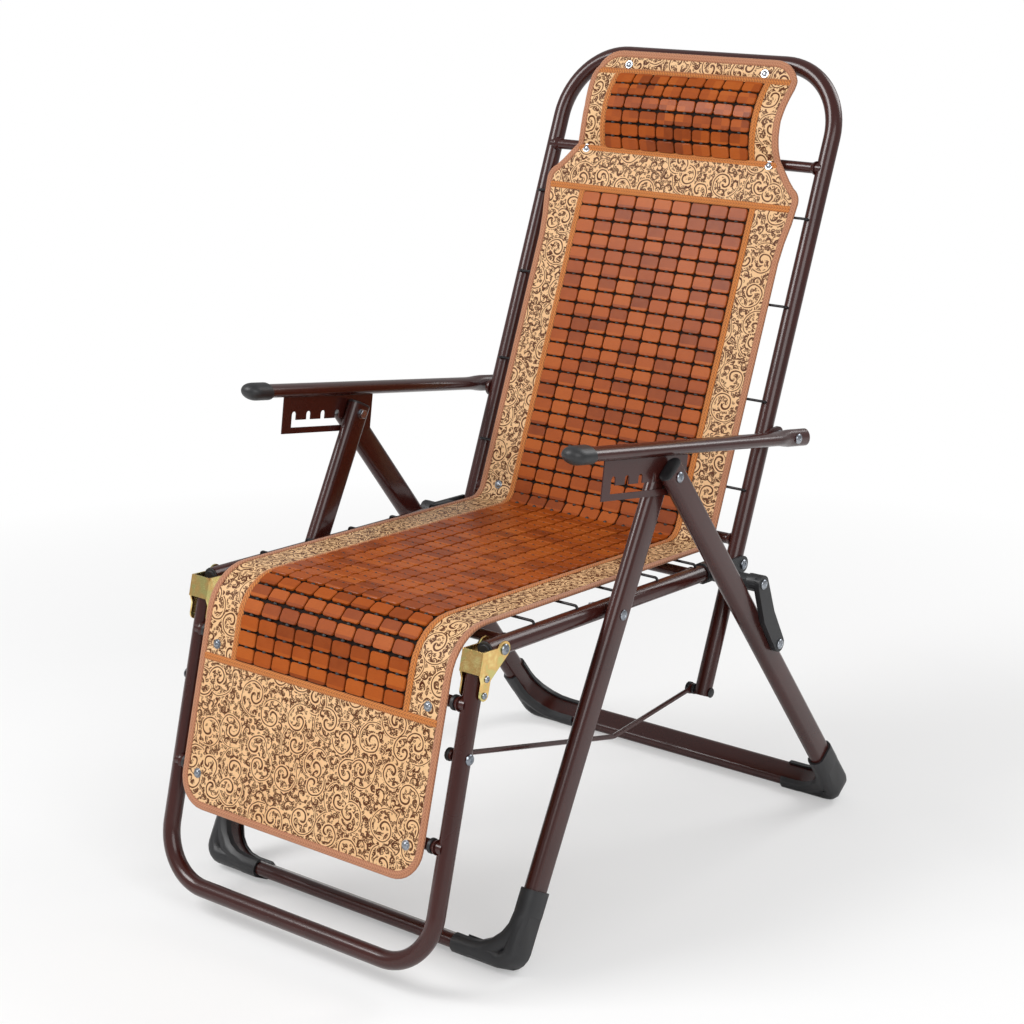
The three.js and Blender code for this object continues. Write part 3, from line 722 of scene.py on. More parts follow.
APEX = side_place(-53, 624)
BACK = Run(side_place(106, 251), side_place(447.5, 1128.4))
RAIL = Run(side_place(-388, 455), side_place(126, 438.5))
FOOTREST = Run(side_place(-402, 434), side_place(-504, 43))
FRONT_LEG = Run(APEX, side_place(-366, 17.5))
REAR_LEG = Run(APEX, side_place(414, 19.5))
BACK_PIVOT = BACK.crossing(RAIL)
SEAT_PIVOT = FRONT_LEG.crossing(RAIL)
HINGE = RAIL.at(20 * MM)
ARM_PIVOT = side_place(266, 613)
LINK_LOW = side_place(198, 321)
LINK_TOP = side_place(150, 424)
ROD_FRONT = FOOTREST.at_height(321 * MM)


# Making and finishing meshes


@dataclass
class Piece:
    """One finished object, and how it joins the chair."""

    name: str
    body: str
    slot: Slot
    smooth: float = 40
    bevel: float = 0
    replaces: Sequence[str] = ()
    recalculate: bool = True

    def make(
        self, mesh: bmesh.types.BMesh, stock: Stock, part: Stretch | None = None, mat: MatLine | None = None
    ) -> bpy.types.Object:
        """Turns a mesh into the piece.

        Args:
            mesh: the mesh, which is freed.
            stock: the finishes.
            part: the stretch of the mat that carries the piece, if one does.
            mat: the mat's line.

        Returns:
            The object.
        """
        if self.recalculate:
            bmesh.ops.recalc_face_normals(mesh, faces=mesh.faces)
        data = bpy.data.meshes.new(self.name)
        mesh.to_mesh(data)
        mesh.free()
        thing = bpy.data.objects.new(self.name, data)
        bpy.context.scene.collection.objects.link(thing)
        data.materials.append(stock[self.slot])
        self.shade(thing)
        if part and mat:
            part.join(thing, self.slot, mat)
        else:
            self.join(thing)
        return thing

    def shade(self, thing: bpy.types.Object) -> None:
        """Smooths the faces but not the edges sharper than the limit, and rounds those.

        Args:
            thing: the object.
        """
        thing.data.polygons.foreach_set("use_smooth", [True] * len(thing.data.polygons))
        thing.data.set_sharp_from_angle(angle=math.radians(self.smooth))
        if self.bevel:
            rounder = thing.modifiers.new("rounded edges", "BEVEL")
            rounder.width = self.bevel
            rounder.segments = 2
            rounder.limit_method = "ANGLE"
            rounder.angle_limit = math.radians(self.smooth)
            rounder.harden_normals = True

    def join(self, thing: bpy.types.Object) -> None:
        """Puts the piece on its body.

        Args:
            thing: the object.
        """
        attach(thing, self.body)
        if self.replaces:
            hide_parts(*self.replaces)
        LOG.info("%s rides on %s with %d faces", self.name, self.body, len(thing.data.polygons))


def copy_of(node: str) -> bmesh.types.BMesh:
    """A merged copy of a frame solid.

    Args:
        node: the solid's name.

    Returns:
        Its mesh, with flat faces joined.
    """
    mesh = bmesh.new()
    mesh.from_mesh(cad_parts[node].data)
    bmesh.ops.remove_doubles(mesh, verts=mesh.verts, dist=0.01 * MM)
    bmesh.ops.dissolve_limit(
        mesh, angle_limit=math.radians(0.5), verts=mesh.verts, edges=mesh.edges, delimit={"NORMAL"}
    )
    return mesh


def flat_oval(mesh: bmesh.types.BMesh, half_x: float, half_y: float, count: int) -> list[bmesh.types.BMVert]:
    """Draws the outline of a tube's section round the origin.

    Args:
        mesh: the mesh to draw in.
        half_x: half the section's first width.
        half_y: half its second width.
        count: how many points it has.

    Returns:
        The outline's points.
    """
    ring = bmesh.ops.create_circle(mesh, cap_ends=False, segments=count, radius=1)["verts"]
    radius = min(half_x, half_y)
    for vert in ring:
        x, y, _ = vert.co
        flats = (math.copysign(half_x - radius, x), math.copysign(half_y - radius, y))
        vert.co = Vector((x * radius + flats[0], y * radius + flats[1], 0))
    return ring


def edges_of(verts: Iterable[bmesh.types.BMVert]) -> list[bmesh.types.BMEdge]:
    """The edges that join a set of points to each other.

    Args:
        verts: the points.

    Returns:
        The edges.
    """
    chosen = set(verts)
    return list({edge for vert in chosen for edge in vert.link_edges if edge.other_vert(vert) in chosen})


def extended(
    mesh: bmesh.types.BMesh, ring: list[bmesh.types.BMVert], step: Matrix
) -> list[bmesh.types.BMVert]:
    """Draws a ring out into a new ring, moved by a matrix.

    Args:
        mesh: the mesh.
        ring: the ring's points.
        step: the move.

    Returns:
        The new ring's points.
    """
    drawn = bmesh.ops.extrude_edge_only(mesh, edges=edges_of(ring))["geom"]
    fresh = [part for part in drawn if isinstance(part, bmesh.types.BMVert)]
    bmesh.ops.transform(mesh, matrix=step, verts=fresh)
    return fresh


def capped(mesh: bmesh.types.BMesh, *rings: list[bmesh.types.BMVert]) -> None:
    """Closes the ends of a tube.

    Args:
        mesh: the mesh.
        rings: the end rings.
    """
    for ring in rings:
        bmesh.ops.contextual_create(mesh, geom=edges_of(ring))


@dataclass(frozen=True)
class Tube:
    """Tube of any flat-sided oval section, bent round its corners."""

    corners: tuple[Vector, ...]
    half_in: float
    half_out: float
    bend: float = 0
    count: int = 28
    steps: int = 12

    def draw(self, mesh: bmesh.types.BMesh) -> None:
        """Draws the tube.

        Args:
            mesh: the mesh to draw in.
        """
        heading = (self.corners[1] - self.corners[0]).normalized()
        plane = ACROSS.cross(heading)
        if plane.length < 0.1:
            straight = len(self.corners) == 2
            plane = Vector((0, 1, 0)) if straight else heading.cross(self.corners[2] - self.corners[1])
        elif len(self.corners) > 2 and abs(heading.x) < 0.5:
            turning = heading.cross(self.corners[2] - self.corners[1])
            plane = turning if turning.length > 1e-6 else plane
        plane.normalize()
        inward = plane.cross(heading).normalized()
        ring = flat_oval(mesh, self.half_in, self.half_out, self.count)
        pose = Matrix((inward, plane, heading)).transposed().to_4x4()
        pose.translation = self.corners[0]
        bmesh.ops.transform(mesh, matrix=pose, verts=ring)
        first, place = ring, self.corners[0]
        for index in range(1, len(self.corners) - 1):
            corner, after = self.corners[index], self.corners[index + 1]
            outgoing = (after - corner).normalized()
            turn = heading.angle(outgoing)
            axis = heading.cross(outgoing).normalized()
            start = corner - heading * self.bend * math.tan(turn / 2)
            ring = extended(mesh, ring, Matrix.Translation(start - place))
            centre = start + axis.cross(heading) * self.bend
            step = Matrix.Rotation(turn / self.steps, 4, axis)
            about = Matrix.Translation(centre) @ step @ Matrix.Translation(-centre)
            for _ in range(self.steps):
                ring = extended(mesh, ring, about)
            place = corner + outgoing * self.bend * math.tan(turn / 2)
            heading = outgoing
        ring = extended(mesh, ring, Matrix.Translation(self.corners[-1] - place))
        capped(mesh, first, ring)


def turned(
    mesh: bmesh.types.BMesh,
    profile: Sequence[tuple[float, float]],
    place: Vector,
    axis: Vector,
    count: int = 24,
) -> list[bmesh.types.BMVert]:
    """Turns a profile round an axis, closed where it meets the axis.

    Args:
        mesh: the mesh to draw in.
        profile: pairs of the distance along the axis and the radius.
        place: the axis's start.
        axis: its direction.
        count: how many steps the turn has.

    Returns:
        The new points.
    """
    before = set(mesh.verts)
    lean = axis.orthogonal().normalized()
    verts = [mesh.verts.new(place + axis * along + lean * radius) for along, radius in profile]
    edges = [mesh.edges.new(pair) for pair in zip(verts, verts[1:])]
    bmesh.ops.spin(
        mesh, geom=verts + edges, cent=place, axis=axis, angle=math.tau, steps=count, use_merge=True
    )
    fresh = [vert for vert in mesh.verts if vert not in before]
    bmesh.ops.remove_doubles(mesh, verts=fresh, dist=0.01 * MM)
    return [vert for vert in mesh.verts if vert not in before]


class Drive(Enum):
    """What a screw's end has."""

    NONE = "none"
    HEAD = "head"
    NUT = "nut"


@dataclass(frozen=True)
class Screw:
    """A screw on an axis: a shank with a domed head, a nut and a washer under each."""

    place: Vector
    axis: Vector
    length: float
    near: Drive = Drive.NONE
    far: Drive = Drive.HEAD
    shank: float = 3.9 * MM
    head: float = 7.4 * MM
    height: float = 3.3 * MM
    washer: float = 0

    def cap(self, mesh: bmesh.types.BMesh, kind: Drive, place: Vector, outward: Vector) -> None:
        """Draws one end.

        Args:
            mesh: the mesh to draw in.
            kind: what the end has.
            place: where the seat is.
            outward: the direction out of the seat.
        """
        if kind is Drive.HEAD:
            base = 0.9 * MM if self.washer else 0
            if self.washer:
                low_edge, high_edge = (0.5 * MM, self.washer), (base, self.washer - 0.5 * MM)
                rim = [(0, 0), (0, self.washer), low_edge, high_edge, (base, 0)]
                turned(mesh, rim, place, outward, 32)
            top = self.height - base
            shares = ((0, 0), (0, 1), (0.35, 1), (0.7, 0.86), (0.92, 0.62), (1, 0.36), (0.62, 0.26), (0.6, 0))
            dome = [(base + top * rise, self.head * reach) for rise, reach in shares]
            turned(mesh, dome, place, outward, 24)
        elif kind is Drive.NUT:
            turned(mesh, [(0, 0), (0, 7.9 * MM), (1.0 * MM, 7.9 * MM), (1.0 * MM, 0)], place, outward, 32)
            shares = ((0, 0), (0, 1), (0.86, 1), (1, 0.86), (1, 0))
            body = [(1 * MM + 4.9 * MM * rise, 7.3 * MM * reach) for rise, reach in shares]
            turned(mesh, body, place, outward, 6)

    def draw(self, mesh: bmesh.types.BMesh) -> None:
        """Draws the screw.

        Args:
            mesh: the mesh to draw in.
        """
        rod = [(0, 0), (0, self.shank), (self.length, self.shank), (self.length, 0)]
        turned(mesh, rod, self.place, self.axis, 20)
        gap = 0.3 * MM
        self.cap(mesh, self.near, self.place - self.axis * gap, -self.axis)
        self.cap(mesh, self.far, self.place + self.axis * (self.length + gap), self.axis)


# The steel frame


@dataclass
class Frame:
    """The tube frames, with their crossbars, plugs, welds and screws."""

    stock: Stock
    rail_track: float = 0.250
    footrest_track: float = 0.246
    front_track: float = 0.2785
    rear_track: float = 0.3025
    tube: float = 0.0125
    bar: float = 0.008
    leg_half_thin: float = 0.010
    leg_half_wide: float = 0.020
    leg_bend: float = 0.065
    leg_rise: float = 0.013

    def hoop(self, track: float, top: Vector, cross: Vector) -> tuple[Vector, ...]:
        """The four corners of a U of tube.

        Args:
            track: half its width between centres.
            top: where its ends are, in the side plane.
            cross: where its cross run is.

        Returns:
            The corners.
        """
        places = ((-track, top), (-track, cross), (track, cross), (track, top))
        return tuple(spot + ACROSS * x for x, spot in places)

    def crossbar(self, mesh: bmesh.types.BMesh, spot: Vector, track: float, tube: float) -> None:
        """Draws a crossbar with a weld at each end.

        Args:
            mesh: the mesh to draw in.
            spot: where it is in the side plane.
            track: half the distance between the tubes' centres.
            tube: the tubes' radius.
        """
        Tube((spot - ACROSS * track, spot + ACROSS * track), self.bar, self.bar, count=22).draw(mesh)
        for side in SIDES.values():
            face = track - tube
            rows = ((-3.5, 0), (-3.5, 8.2), (-1.6, 9.0), (0.6, 10.2), (2.5, 10.6), (2.5, 0))
            weld = [(-along * MM, radius * MM) for along, radius in rows]
            turned(mesh, weld, spot + ACROSS * side * face, -ACROSS * side, 20)

    def legs(self, name: str, body: str, leg: Run, track: float) -> None:
        """Builds one leg frame and the plugs in its open ends.

        Args:
            name: the frame solid's name.
            body: the body it rides on.
            leg: the leg's line.
            track: half the distance between its tubes' centres.
        """
        mesh = bmesh.new()
        top = leg.at(-self.leg_rise)
        corners = self.hoop(track, top, leg.end)
        Tube(corners, self.leg_half_thin, self.leg_half_wide, self.leg_bend, 32, 16).draw(mesh)
        Piece(name + "_tube", body, Slot.PAINT, replaces=(name,)).make(mesh, self.stock)
        for word, side in SIDES.items():
            plug = bmesh.new()
            foot = top + ACROSS * side * track
            ring = flat_oval(plug, self.leg_half_thin, self.leg_half_wide, 32)
            pose = Matrix((ACROSS, leg.left, leg.heading)).transposed().to_4x4()
            pose.translation = foot - leg.heading * 0.2 * MM
            bmesh.ops.transform(plug, matrix=pose, verts=ring)
            first = ring
            for rise, shrink in ((2.0, 1.0), (1.2, 0.86), (0.8, 0.6)):
                middle = sum((vert.co for vert in ring), Vector()) / len(ring)
                lifted = Matrix.Translation(middle - leg.heading * rise * MM)
                about = lifted @ Matrix.Scale(shrink, 4) @ Matrix.Translation(-middle)
                ring = extended(plug, ring, about)
            capped(plug, first, ring)
            Piece(f"{name}_plug_{word}", body, Slot.PLASTIC).make(plug, self.stock)

    def seat(self) -> None:
        """Builds the seat's rails and crossbars."""
        mesh = bmesh.new()
        for side in SIDES.values():
            ends = (RAIL.at(0, 0, side * self.rail_track), RAIL.end + ACROSS * side * self.rail_track)
            Tube(ends, self.tube, self.tube).draw(mesh)
        for y in (-340, 84):
            self.crossbar(mesh, RAIL.at_depth(y * MM + LAYOUT_SHIFT), self.rail_track, self.tube)
        Piece("seat_rails", "seat", Slot.PAINT, replaces=("seat_frame",)).make(mesh, self.stock)

    def back(self) -> None:
        """Builds the back's hoop, crossbars and armrest lugs."""
        mesh = bmesh.new()
        Tube(self.hoop(self.rail_track, BACK.start, BACK.end), self.tube, self.tube, 0.105, 28, 18).draw(mesh)
        self.crossbar(mesh, BACK.at_height(0.986) + BACK.left * 6 * MM, self.rail_track, self.tube)
        self.crossbar(mesh, BACK.at_height(0.467), self.rail_track, self.tube)
        root = BACK.at_height(ARM_PIVOT.z)
        for side in SIDES.values():
            strap = bmesh.new()
            self.strap(strap, root, ARM_PIVOT, 13 * MM, 13 * MM, side * 262.5 * MM, 6 * MM)
            bmesh.ops.bevel(
                strap, geom=strap.edges, offset=0.8 * MM, segments=2, affect="EDGES", profile=0.5, material=-1
            )
            data = bpy.data.meshes.new("lug")
            strap.to_mesh(data)
            strap.free()
            mesh.from_mesh(data)
            bpy.data.meshes.remove(data)
        Piece("back_hoop", "back", Slot.PAINT, replaces=("back_frame",)).make(mesh, self.stock)

    def strap(
        self,
        mesh: bmesh.types.BMesh,
        start: Vector,
        end: Vector,
        first: float,
        second: float,
        x: float,
        thick: float,
    ) -> None:
        """Draws a plate with two round ends.

        Args:
            mesh: the mesh to draw in.
            start: the first end's middle, in the side plane.
            end: the second end's middle.
            first: the first end's radius.
            second: the second end's radius.
            x: the middle of its thickness.
            thick: its thickness.
        """
        ring = bmesh.ops.create_circle(mesh, cap_ends=True, segments=40, radius=1)["verts"]
        heading = (end - start).normalized()
        for vert in ring:
            along, across, _ = vert.co
            centre, radius = (end, second) if along > 0 else (start, first)
            up = Vector((0, -heading.z, heading.y))
            vert.co = centre + heading * along * radius + up * across * radius + ACROSS * (x - thick / 2)
        grown = bmesh.ops.extrude_face_region(mesh, geom=mesh.faces[:])["geom"]
        far = [part for part in grown if isinstance(part, bmesh.types.BMVert)]
        bmesh.ops.translate(mesh, vec=ACROSS * thick, verts=far)

    def footrest(self) -> None:
        """Builds the footrest's hoop and crossbars, with black collars on their ends."""
        mesh = bmesh.new()
        corners = self.hoop(self.footrest_track, FOOTREST.start, FOOTREST.end)
        Tube(corners, self.tube, self.tube, 0.078, 28, 18).draw(mesh)
        collars = bmesh.new()
        for z in (387, 205):
            spot = FOOTREST.at_height(z * MM) - FOOTREST.left * 7 * MM
            self.crossbar(mesh, spot, self.footrest_track, self.tube)
            for side in SIDES.values():
                ends = (spot + ACROSS * side * 225 * MM, spot + ACROSS * side * 230 * MM)
                Tube(ends, 10.5 * MM, 10.5 * MM, count=24).draw(collars)
        Piece("footrest_hoop", "footrest", Slot.PAINT, replaces=("footrest_frame",)).make(mesh, self.stock)
        Piece("footrest_collars", "footrest", Slot.PLASTIC, bevel=0.8 * MM).make(collars, self.stock)

    def rods(self) -> None:
        """Builds the two rods that join the back to the footrest."""
        for word, side in SIDES.items():
            mesh = copy_of(f"rod_{word}")
            piece = Piece(f"rod_bar_{word}", "rods", Slot.PAINT, 50, 0.5 * MM, (f"rod_{word}",))
            piece.make(mesh, self.stock)

    def refined(self) -> None:
        """Rounds the edges of copies of the plates and mouldings."""
        plans = {
            "front_boot": ("front_legs", Slot.PLASTIC, 1.4),
            "rear_boot": ("rear_legs", Slot.PLASTIC, 1.4),
            "rail_cap": ("seat", Slot.PLASTIC, 0.8),
            "seat_end_fitting": ("seat", Slot.PLASTIC, 1.2),
            "link": ("links", Slot.PLASTIC, 1.6),
            "ratchet_plate": ("arms", Slot.PAINT, 0.4),
            "hinge_bracket": ("footrest", Slot.YELLOW, 0.5),
            "rod_knob": ("rods", Slot.PLASTIC, 0.8),
            "rod_rear_bolt": ("rod_bolts", Slot.PLASTIC, 0.8),
        }
        for stem, (body, slot, bevel) in plans.items():
            for word in SIDES:
                node = f"{stem}_{word}"
                piece = Piece(f"{stem}_rounded_{word}", body, slot, 38, bevel * MM, (node,), False)
                piece.make(copy_of(node), self.stock)

    def wires(self) -> None:
        """Dresses the wires, whose solids are right as they are."""
        names = [f"seat_wire_{count}" for count in range(1, 6)]
        names += [f"back_wire_{count}" for count in range(1, 5)]
        for node in names:
            body = "seat" if node.startswith("seat") else "back"
            Piece(f"{node}_drawn", body, Slot.WIRE, 65, 0, (node,), False).make(copy_of(node), self.stock)

    def screws(self) -> None:
        """Builds the pivots' screws."""
        plans = {
            "apex_bolt": ("rear_legs", APEX, 292.5, 312.5, Drive.NONE, Drive.HEAD),
            "apex_nut": ("front_legs", APEX, 268.5, 288.5, Drive.NUT, Drive.NONE),
            "seat_pivot_bolt": ("front_legs", SEAT_PIVOT, 237.5, 288.5, Drive.NUT, Drive.HEAD),
            "back_pivot_bolt": ("back_bolts", BACK_PIVOT, 237.5, 267.8, Drive.NUT, Drive.HEAD),
            "link_lower_bolt": ("rear_legs", LINK_LOW, 292.5, 321.8, Drive.NUT, Drive.HEAD),
            "link_top_bolt": ("links", LINK_TOP, 298.5, 321.8, Drive.NONE, Drive.HEAD),
            "arm_pivot_bolt": ("arm_bolts", ARM_PIVOT, 259.5, 299.5, Drive.NONE, Drive.HEAD),
            "hinge_bolt": ("hinge_bolts", HINGE, 230.7, 265.3, Drive.NUT, Drive.HEAD),
            "rod_front_bolt": ("footrest", ROD_FRONT, 233.5, 258.5, Drive.NONE, Drive.HEAD),
        }
        for stem, (body, spot, inner, outer, near, far) in plans.items():
            for word, side in SIDES.items():
                mesh = bmesh.new()
                low = stem == "seat_pivot_bolt"
                screw = Screw(
                    spot + ACROSS * side * inner * MM, ACROSS * side, (outer - inner) * MM, near, far,
                    height=(2.4 if low else 3.3) * MM,
                )
                screw.draw(mesh)
                if stem == "arm_pivot_bolt":
                    collar = [(0, 0), (0, 7.9 * MM), (14.3 * MM, 7.9 * MM), (14.3 * MM, 0)]
                    turned(mesh, collar, spot + ACROSS * side * 265.9 * MM, ACROSS * side)
                piece = Piece(f"{stem}_turned_{word}", body, Slot.ZINC, 35, 0, (f"{stem}_{word}",))
                piece.make(mesh, self.stock)
        for word, side in SIDES.items():
            for number, z in enumerate((424, 403), 1):
                mesh = bmesh.new()
                spot = FOOTREST.at_height(z * MM) + ACROSS * side * 257.5 * MM
                screw = Screw(spot, ACROSS * side, 7.8 * MM, shank=2.4 * MM, head=4.6 * MM, height=2.4 * MM)
                screw.draw(mesh)
                piece = Piece(f"bracket_screw_{number}_{word}", "footrest", Slot.ZINC, 35)
                piece.make(mesh, self.stock)

    def build(self) -> None:
        """Builds the whole frame."""
        self.legs("front_leg_frame", "front_legs", FRONT_LEG, self.front_track)
        self.legs("rear_leg_frame", "rear_legs", REAR_LEG, self.rear_track)
        self.seat()
        self.back()
        self.footrest()
        self.rods()
        self.refined()
        self.wires()
        self.screws()


@dataclass
class Armrests:
    """The two oval armrests, with a plastic cap on the front of each."""

    stock: Stock
    track: float = 0.290
    half_width: float = 0.0155
    half_height: float = 0.010
    pinch_width: float = 0.0095
    pinch_height: float = 0.013
    front: float = side_place(-255, 0).y
    rear: float = side_place(298, 0).y
    cap_cover: float = 0.024
    cap_nose: float = 0.018
    cap_wall: float = 0.003

    def height(self, y: float) -> float:
        """How high the armrest's middle is.

        Args:
            y: the depth.

        Returns:
            The height.
        """
        return ARM_PIVOT.z + 0.15 * (ARM_PIVOT.y - y)

    def section(self, y: float) -> tuple[float, float]:
        """Half the width and half the height of the armrest.

        Args:
            y: the depth.

        Returns:
            The two halves.
        """
        low, high = self.rear - 0.078, ARM_PIVOT.y - 0.014
        share = min(1.0, max(0.0, (y - low) / (high - low)))
        share = share * share * (3 - 2 * share)
        wide = self.half_width + (self.pinch_width - self.half_width) * share
        return wide, self.half_height + (self.pinch_height - self.half_height) * share

    def lofted(self, side: int, stations: Sequence[tuple[float, float, float]]) -> bmesh.types.BMesh:
        """Draws an armrest's skin through a row of stations.

        Args:
            side: which side of the chair.
            stations: the depth, growth and scale of each section.

        Returns:
            The mesh.
        """
        mesh = bmesh.new()
        ring = bmesh.ops.create_circle(mesh, cap_ends=False, segments=28, radius=1)["verts"]
        first = ring
        unit = [vert.co.copy() for vert in ring]
        for index, (y, grow, scale) in enumerate(stations):
            if index:
                ring = extended(mesh, ring, Matrix.Identity(4))
                ring.sort(key=lambda vert: vert.index)
            wide, high = self.section(y)
            for vert, spot in zip(ring, unit):
                x = self.track * side + spot.x * (wide + grow) * scale
                vert.co = Vector((x, y, self.height(y) + spot.y * (high + grow) * scale))
            mesh.verts.index_update()
        capped(mesh, first, ring)
        return mesh

    def build(self) -> None:
        """Builds both armrests and their caps."""
        span = self.rear - self.front
        body = [(self.rear - span * step / 48, 0, 1) for step in range(49)]
        start = self.front + self.cap_cover
        tip = self.front - self.cap_nose
        cap = [(start, 0.0006, 1), (start - 0.0008, self.cap_wall, 1)]
        cap += [(start - (start - self.front) * step / 5, self.cap_wall, 1) for step in range(1, 6)]
        for step in range(1, 11):
            angle = math.radians(84) * step / 10
            cap.append((self.front - (self.front - tip) * math.sin(angle), self.cap_wall, math.cos(angle)))
        for word, side in SIDES.items():
            tube = Piece(f"armrest_tube_{word}", "arms", Slot.PAINT, 50, 0, (f"armrest_{word}",))
            tube.make(self.lofted(side, body), self.stock)
            dome = Piece(f"arm_cap_dome_{word}", "arms", Slot.PLASTIC, 50, 0, (f"arm_cap_{word}",))
            dome.make(self.lofted(side, cap), self.stock)


# The mat


class MatLine:
    """The mat's underside in the side plane, measured from its head's edge to its flap's edge."""

    raise_wires = 18.8 * MM
    raise_flap = 15.3 * MM
    crease_radius = 0.030
    crease_slack = 0.024
    front_radius = 0.070
    head_reach = 0.742
    flap_reach = 0.292
    thick_low = 0.8 * MM
    thick_high = 3.6 * MM
    tile_high = 7.3 * MM
    knot_high = 4.9 * MM
    pitch_x = 0.034
    pitch_d = 0.022
    columns = 9
    binding = 0.0105
    tape = 0.010
    tile_gap = 2.6 * MM
    head_gap = 2.4 * MM
    head_tape_high = 0.712
    head_tape_low = 0.590
    swell_middle = 0.091
    swell_reach = 0.061
    swell_edge = 0.015
    swell_crown = 0.009
    head_columns = 8
    head_rows = 6
    head_pitch = 0.0332

    def __init__(self) -> None:
        """Lays the line out."""
        back = BACK.raised(self.raise_wires)
        seat = RAIL.raised(self.raise_wires)
        flap = FOOTREST.raised(-self.raise_flap)
        head = BACK_PIVOT + BACK.heading * self.head_reach + BACK.left * self.raise_wires
        foot = FOOTREST.at(self.flap_reach, -self.raise_flap)
        self.corners = [head, back.crossing(seat), seat.crossing(flap), foot]
        self.runs: list[tuple[float, Vector, Vector, float, Vector]] = []
        self.marks = [0.0]
        place, along = head, 0.0
        heading = (self.corners[1] - head).normalized()
        for index, radius in ((1, self.crease_radius), (2, self.front_radius)):
            corner = self.corners[index]
            outgoing = (self.corners[index + 1] - corner).normalized()
            turn = heading.angle(outgoing)
            reach = radius * math.tan(turn / 2)
            start = corner - heading * reach
            self.runs.append((along, place, heading, 0.0, Vector()))
            along += (start - place).length
            self.marks.append(along)
            axis = heading.cross(outgoing).normalized()
            self.runs.append((along, start, heading, radius, axis))
            along += radius * turn
            self.marks.append(along)
            place, heading = corner + outgoing * reach, outgoing
        self.runs.append((along, place, heading, 0.0, Vector()))
        self.length = along + (foot - place).length
        self.marks.append(self.length)
        self.panel_half = self.columns * self.pitch_x / 2
        self.panel_top = self.head_reach - 0.516
        rows = math.floor((self.marks[4] + 0.0657 - self.panel_top) / self.pitch_d)
        self.rows = rows
        self.panel_end = self.panel_top + rows * self.pitch_d
        self.outline = self.half_outline()
        self.head_half = self.head_columns * self.head_pitch / 2
        self.head_top = self.swell_middle - self.swell_reach + self.tape
        self.head_end = self.swell_middle + self.swell_reach

    def bulge(self, x: float, along: float) -> float:
        """How far the pillow pushes the mat's head out.

        Args:
            x: how far across the mat.
            along: how far from the head's edge.

        Returns:
            The height over the flat mat.
        """
        share = (along - self.swell_middle) / self.swell_reach
        if abs(share) >= 1:
            return 0.0
        crown = max(0.0, 1 - (x / 0.185) ** 2)
        return (self.swell_edge + self.swell_crown * crown) * (1 - share**2) ** 0.9

    def head_rows_at(self) -> tuple[list[float], float]:
        """Where the pillow's rows of tiles are.

        Returns:
            The middles of the rows along the mat, and their pitch over the bulge.
        """
        count = 400
        places = [self.head_top + (self.head_end - self.head_top) * step / count for step in range(count + 1)]
        reach = [0.0]
        for a, b in zip(places, places[1:]):
            reach.append(reach[-1] + math.hypot(b - a, self.bulge(0, b) - self.bulge(0, a)))
        pitch = reach[-1] / self.head_rows
        middles = [(row + 0.5) * pitch for row in range(self.head_rows)]
        nearest = [min(range(count + 1), key=lambda at: abs(reach[at] - middle)) for middle in middles]
        return [places[at] for at in nearest], pitch

    def locate(self, along: float) -> tuple[Vector, Vector, Vector]:
        """A place on the line.

        Args:
            along: how far from the head's edge.

        Returns:
            The place, the direction down the mat and the direction out of its face.
        """
        reached = (run for run in reversed(self.runs) if run[0] <= along or run[0] == 0)
        start, place, heading, radius, axis = next(reached)
        if radius:
            centre = place + axis.cross(heading) * radius
            turn = Matrix.Rotation((along - start) / radius, 3, axis)
            spot = centre + turn @ (place - centre)
            heading = turn @ heading
        else:
            spot = place + heading * (along - start)
        return spot, heading, Vector((0, heading.z, -heading.y))

    def half_outline(self) -> list[tuple[float, float]]:
        """The right half of the mat's edge, from the middle of its head to the middle of its flap.

        Returns:
            Pairs of the distance from the middle and along the mat.
        """
        reach = self.head_reach

        def arc(x: float, along: float, radius: float, start: float, end: float) -> list[tuple[float, float]]:
            """Points round a rounded corner."""
            steps = [start + (end - start) * step / 8 for step in range(9)]
            turns = [math.radians(step) for step in steps]
            return [(x + radius * math.cos(turn), along - radius * math.sin(turn)) for turn in turns]

        edge = [(0.0, 0.0)]
        edge += arc(0.141, 0.045, 0.045, 90, 0)
        edge += [(0.182, 0.075), (0.180, 0.095), (0.181, 0.118), (0.183, 0.135), (0.187, reach - 0.590)]
        edge += [(0.197, reach - 0.578), (0.209, reach - 0.563)]
        edge += arc(0.208, reach - 0.531, 0.024, 62, 0)
        edge += [(0.2295, reach - 0.500), (0.2245, reach - 0.470), (0.222, reach - 0.440)]
        edge += [(0.222, self.length - 0.046)]
        edge += arc(0.176, self.length - 0.046, 0.046, 0, -90)
        edge.append((0.0, self.length))
        return edge

    def half_width(self, along: float) -> float:
        """Half the mat's width.

        Args:
            along: how far from the head's edge.

        Returns:
            The half width.
        """
        edge = self.outline
        for first, second in zip(edge, edge[1:]):
            if first[1] <= along <= second[1] and second[1] > first[1]:
                share = (along - first[1]) / (second[1] - first[1])
                return first[0] + (second[0] - first[0]) * share
        return edge[1][0]

    def stations(self, start: float, end: float, pitch: float = 0.016) -> list[float]:
        """The places along the mat where a strip has a row of points.

        Args:
            start: where the strip starts.
            end: where it ends.
            pitch: the widest distance between rows.

        Returns:
            The places.
        """
        count = max(1, math.ceil((end - start) / pitch))
        even = [start + (end - start) * step / count for step in range(count + 1)]
        corners = [along for _, along in self.outline if start < along < end]
        rows: list[float] = []
        low, high = self.swell_middle - self.swell_reach, self.swell_middle + self.swell_reach
        swell = [low + (high - low) * (1 - math.cos(math.pi * step / 24)) / 2 for step in range(25)]
        corners += [along for along in swell if start < along < end]
        for along in sorted(even + corners):
            if not rows or along - rows[-1] > 0.8 * MM:
                rows.append(along)
        rows[-1] = end
        return rows

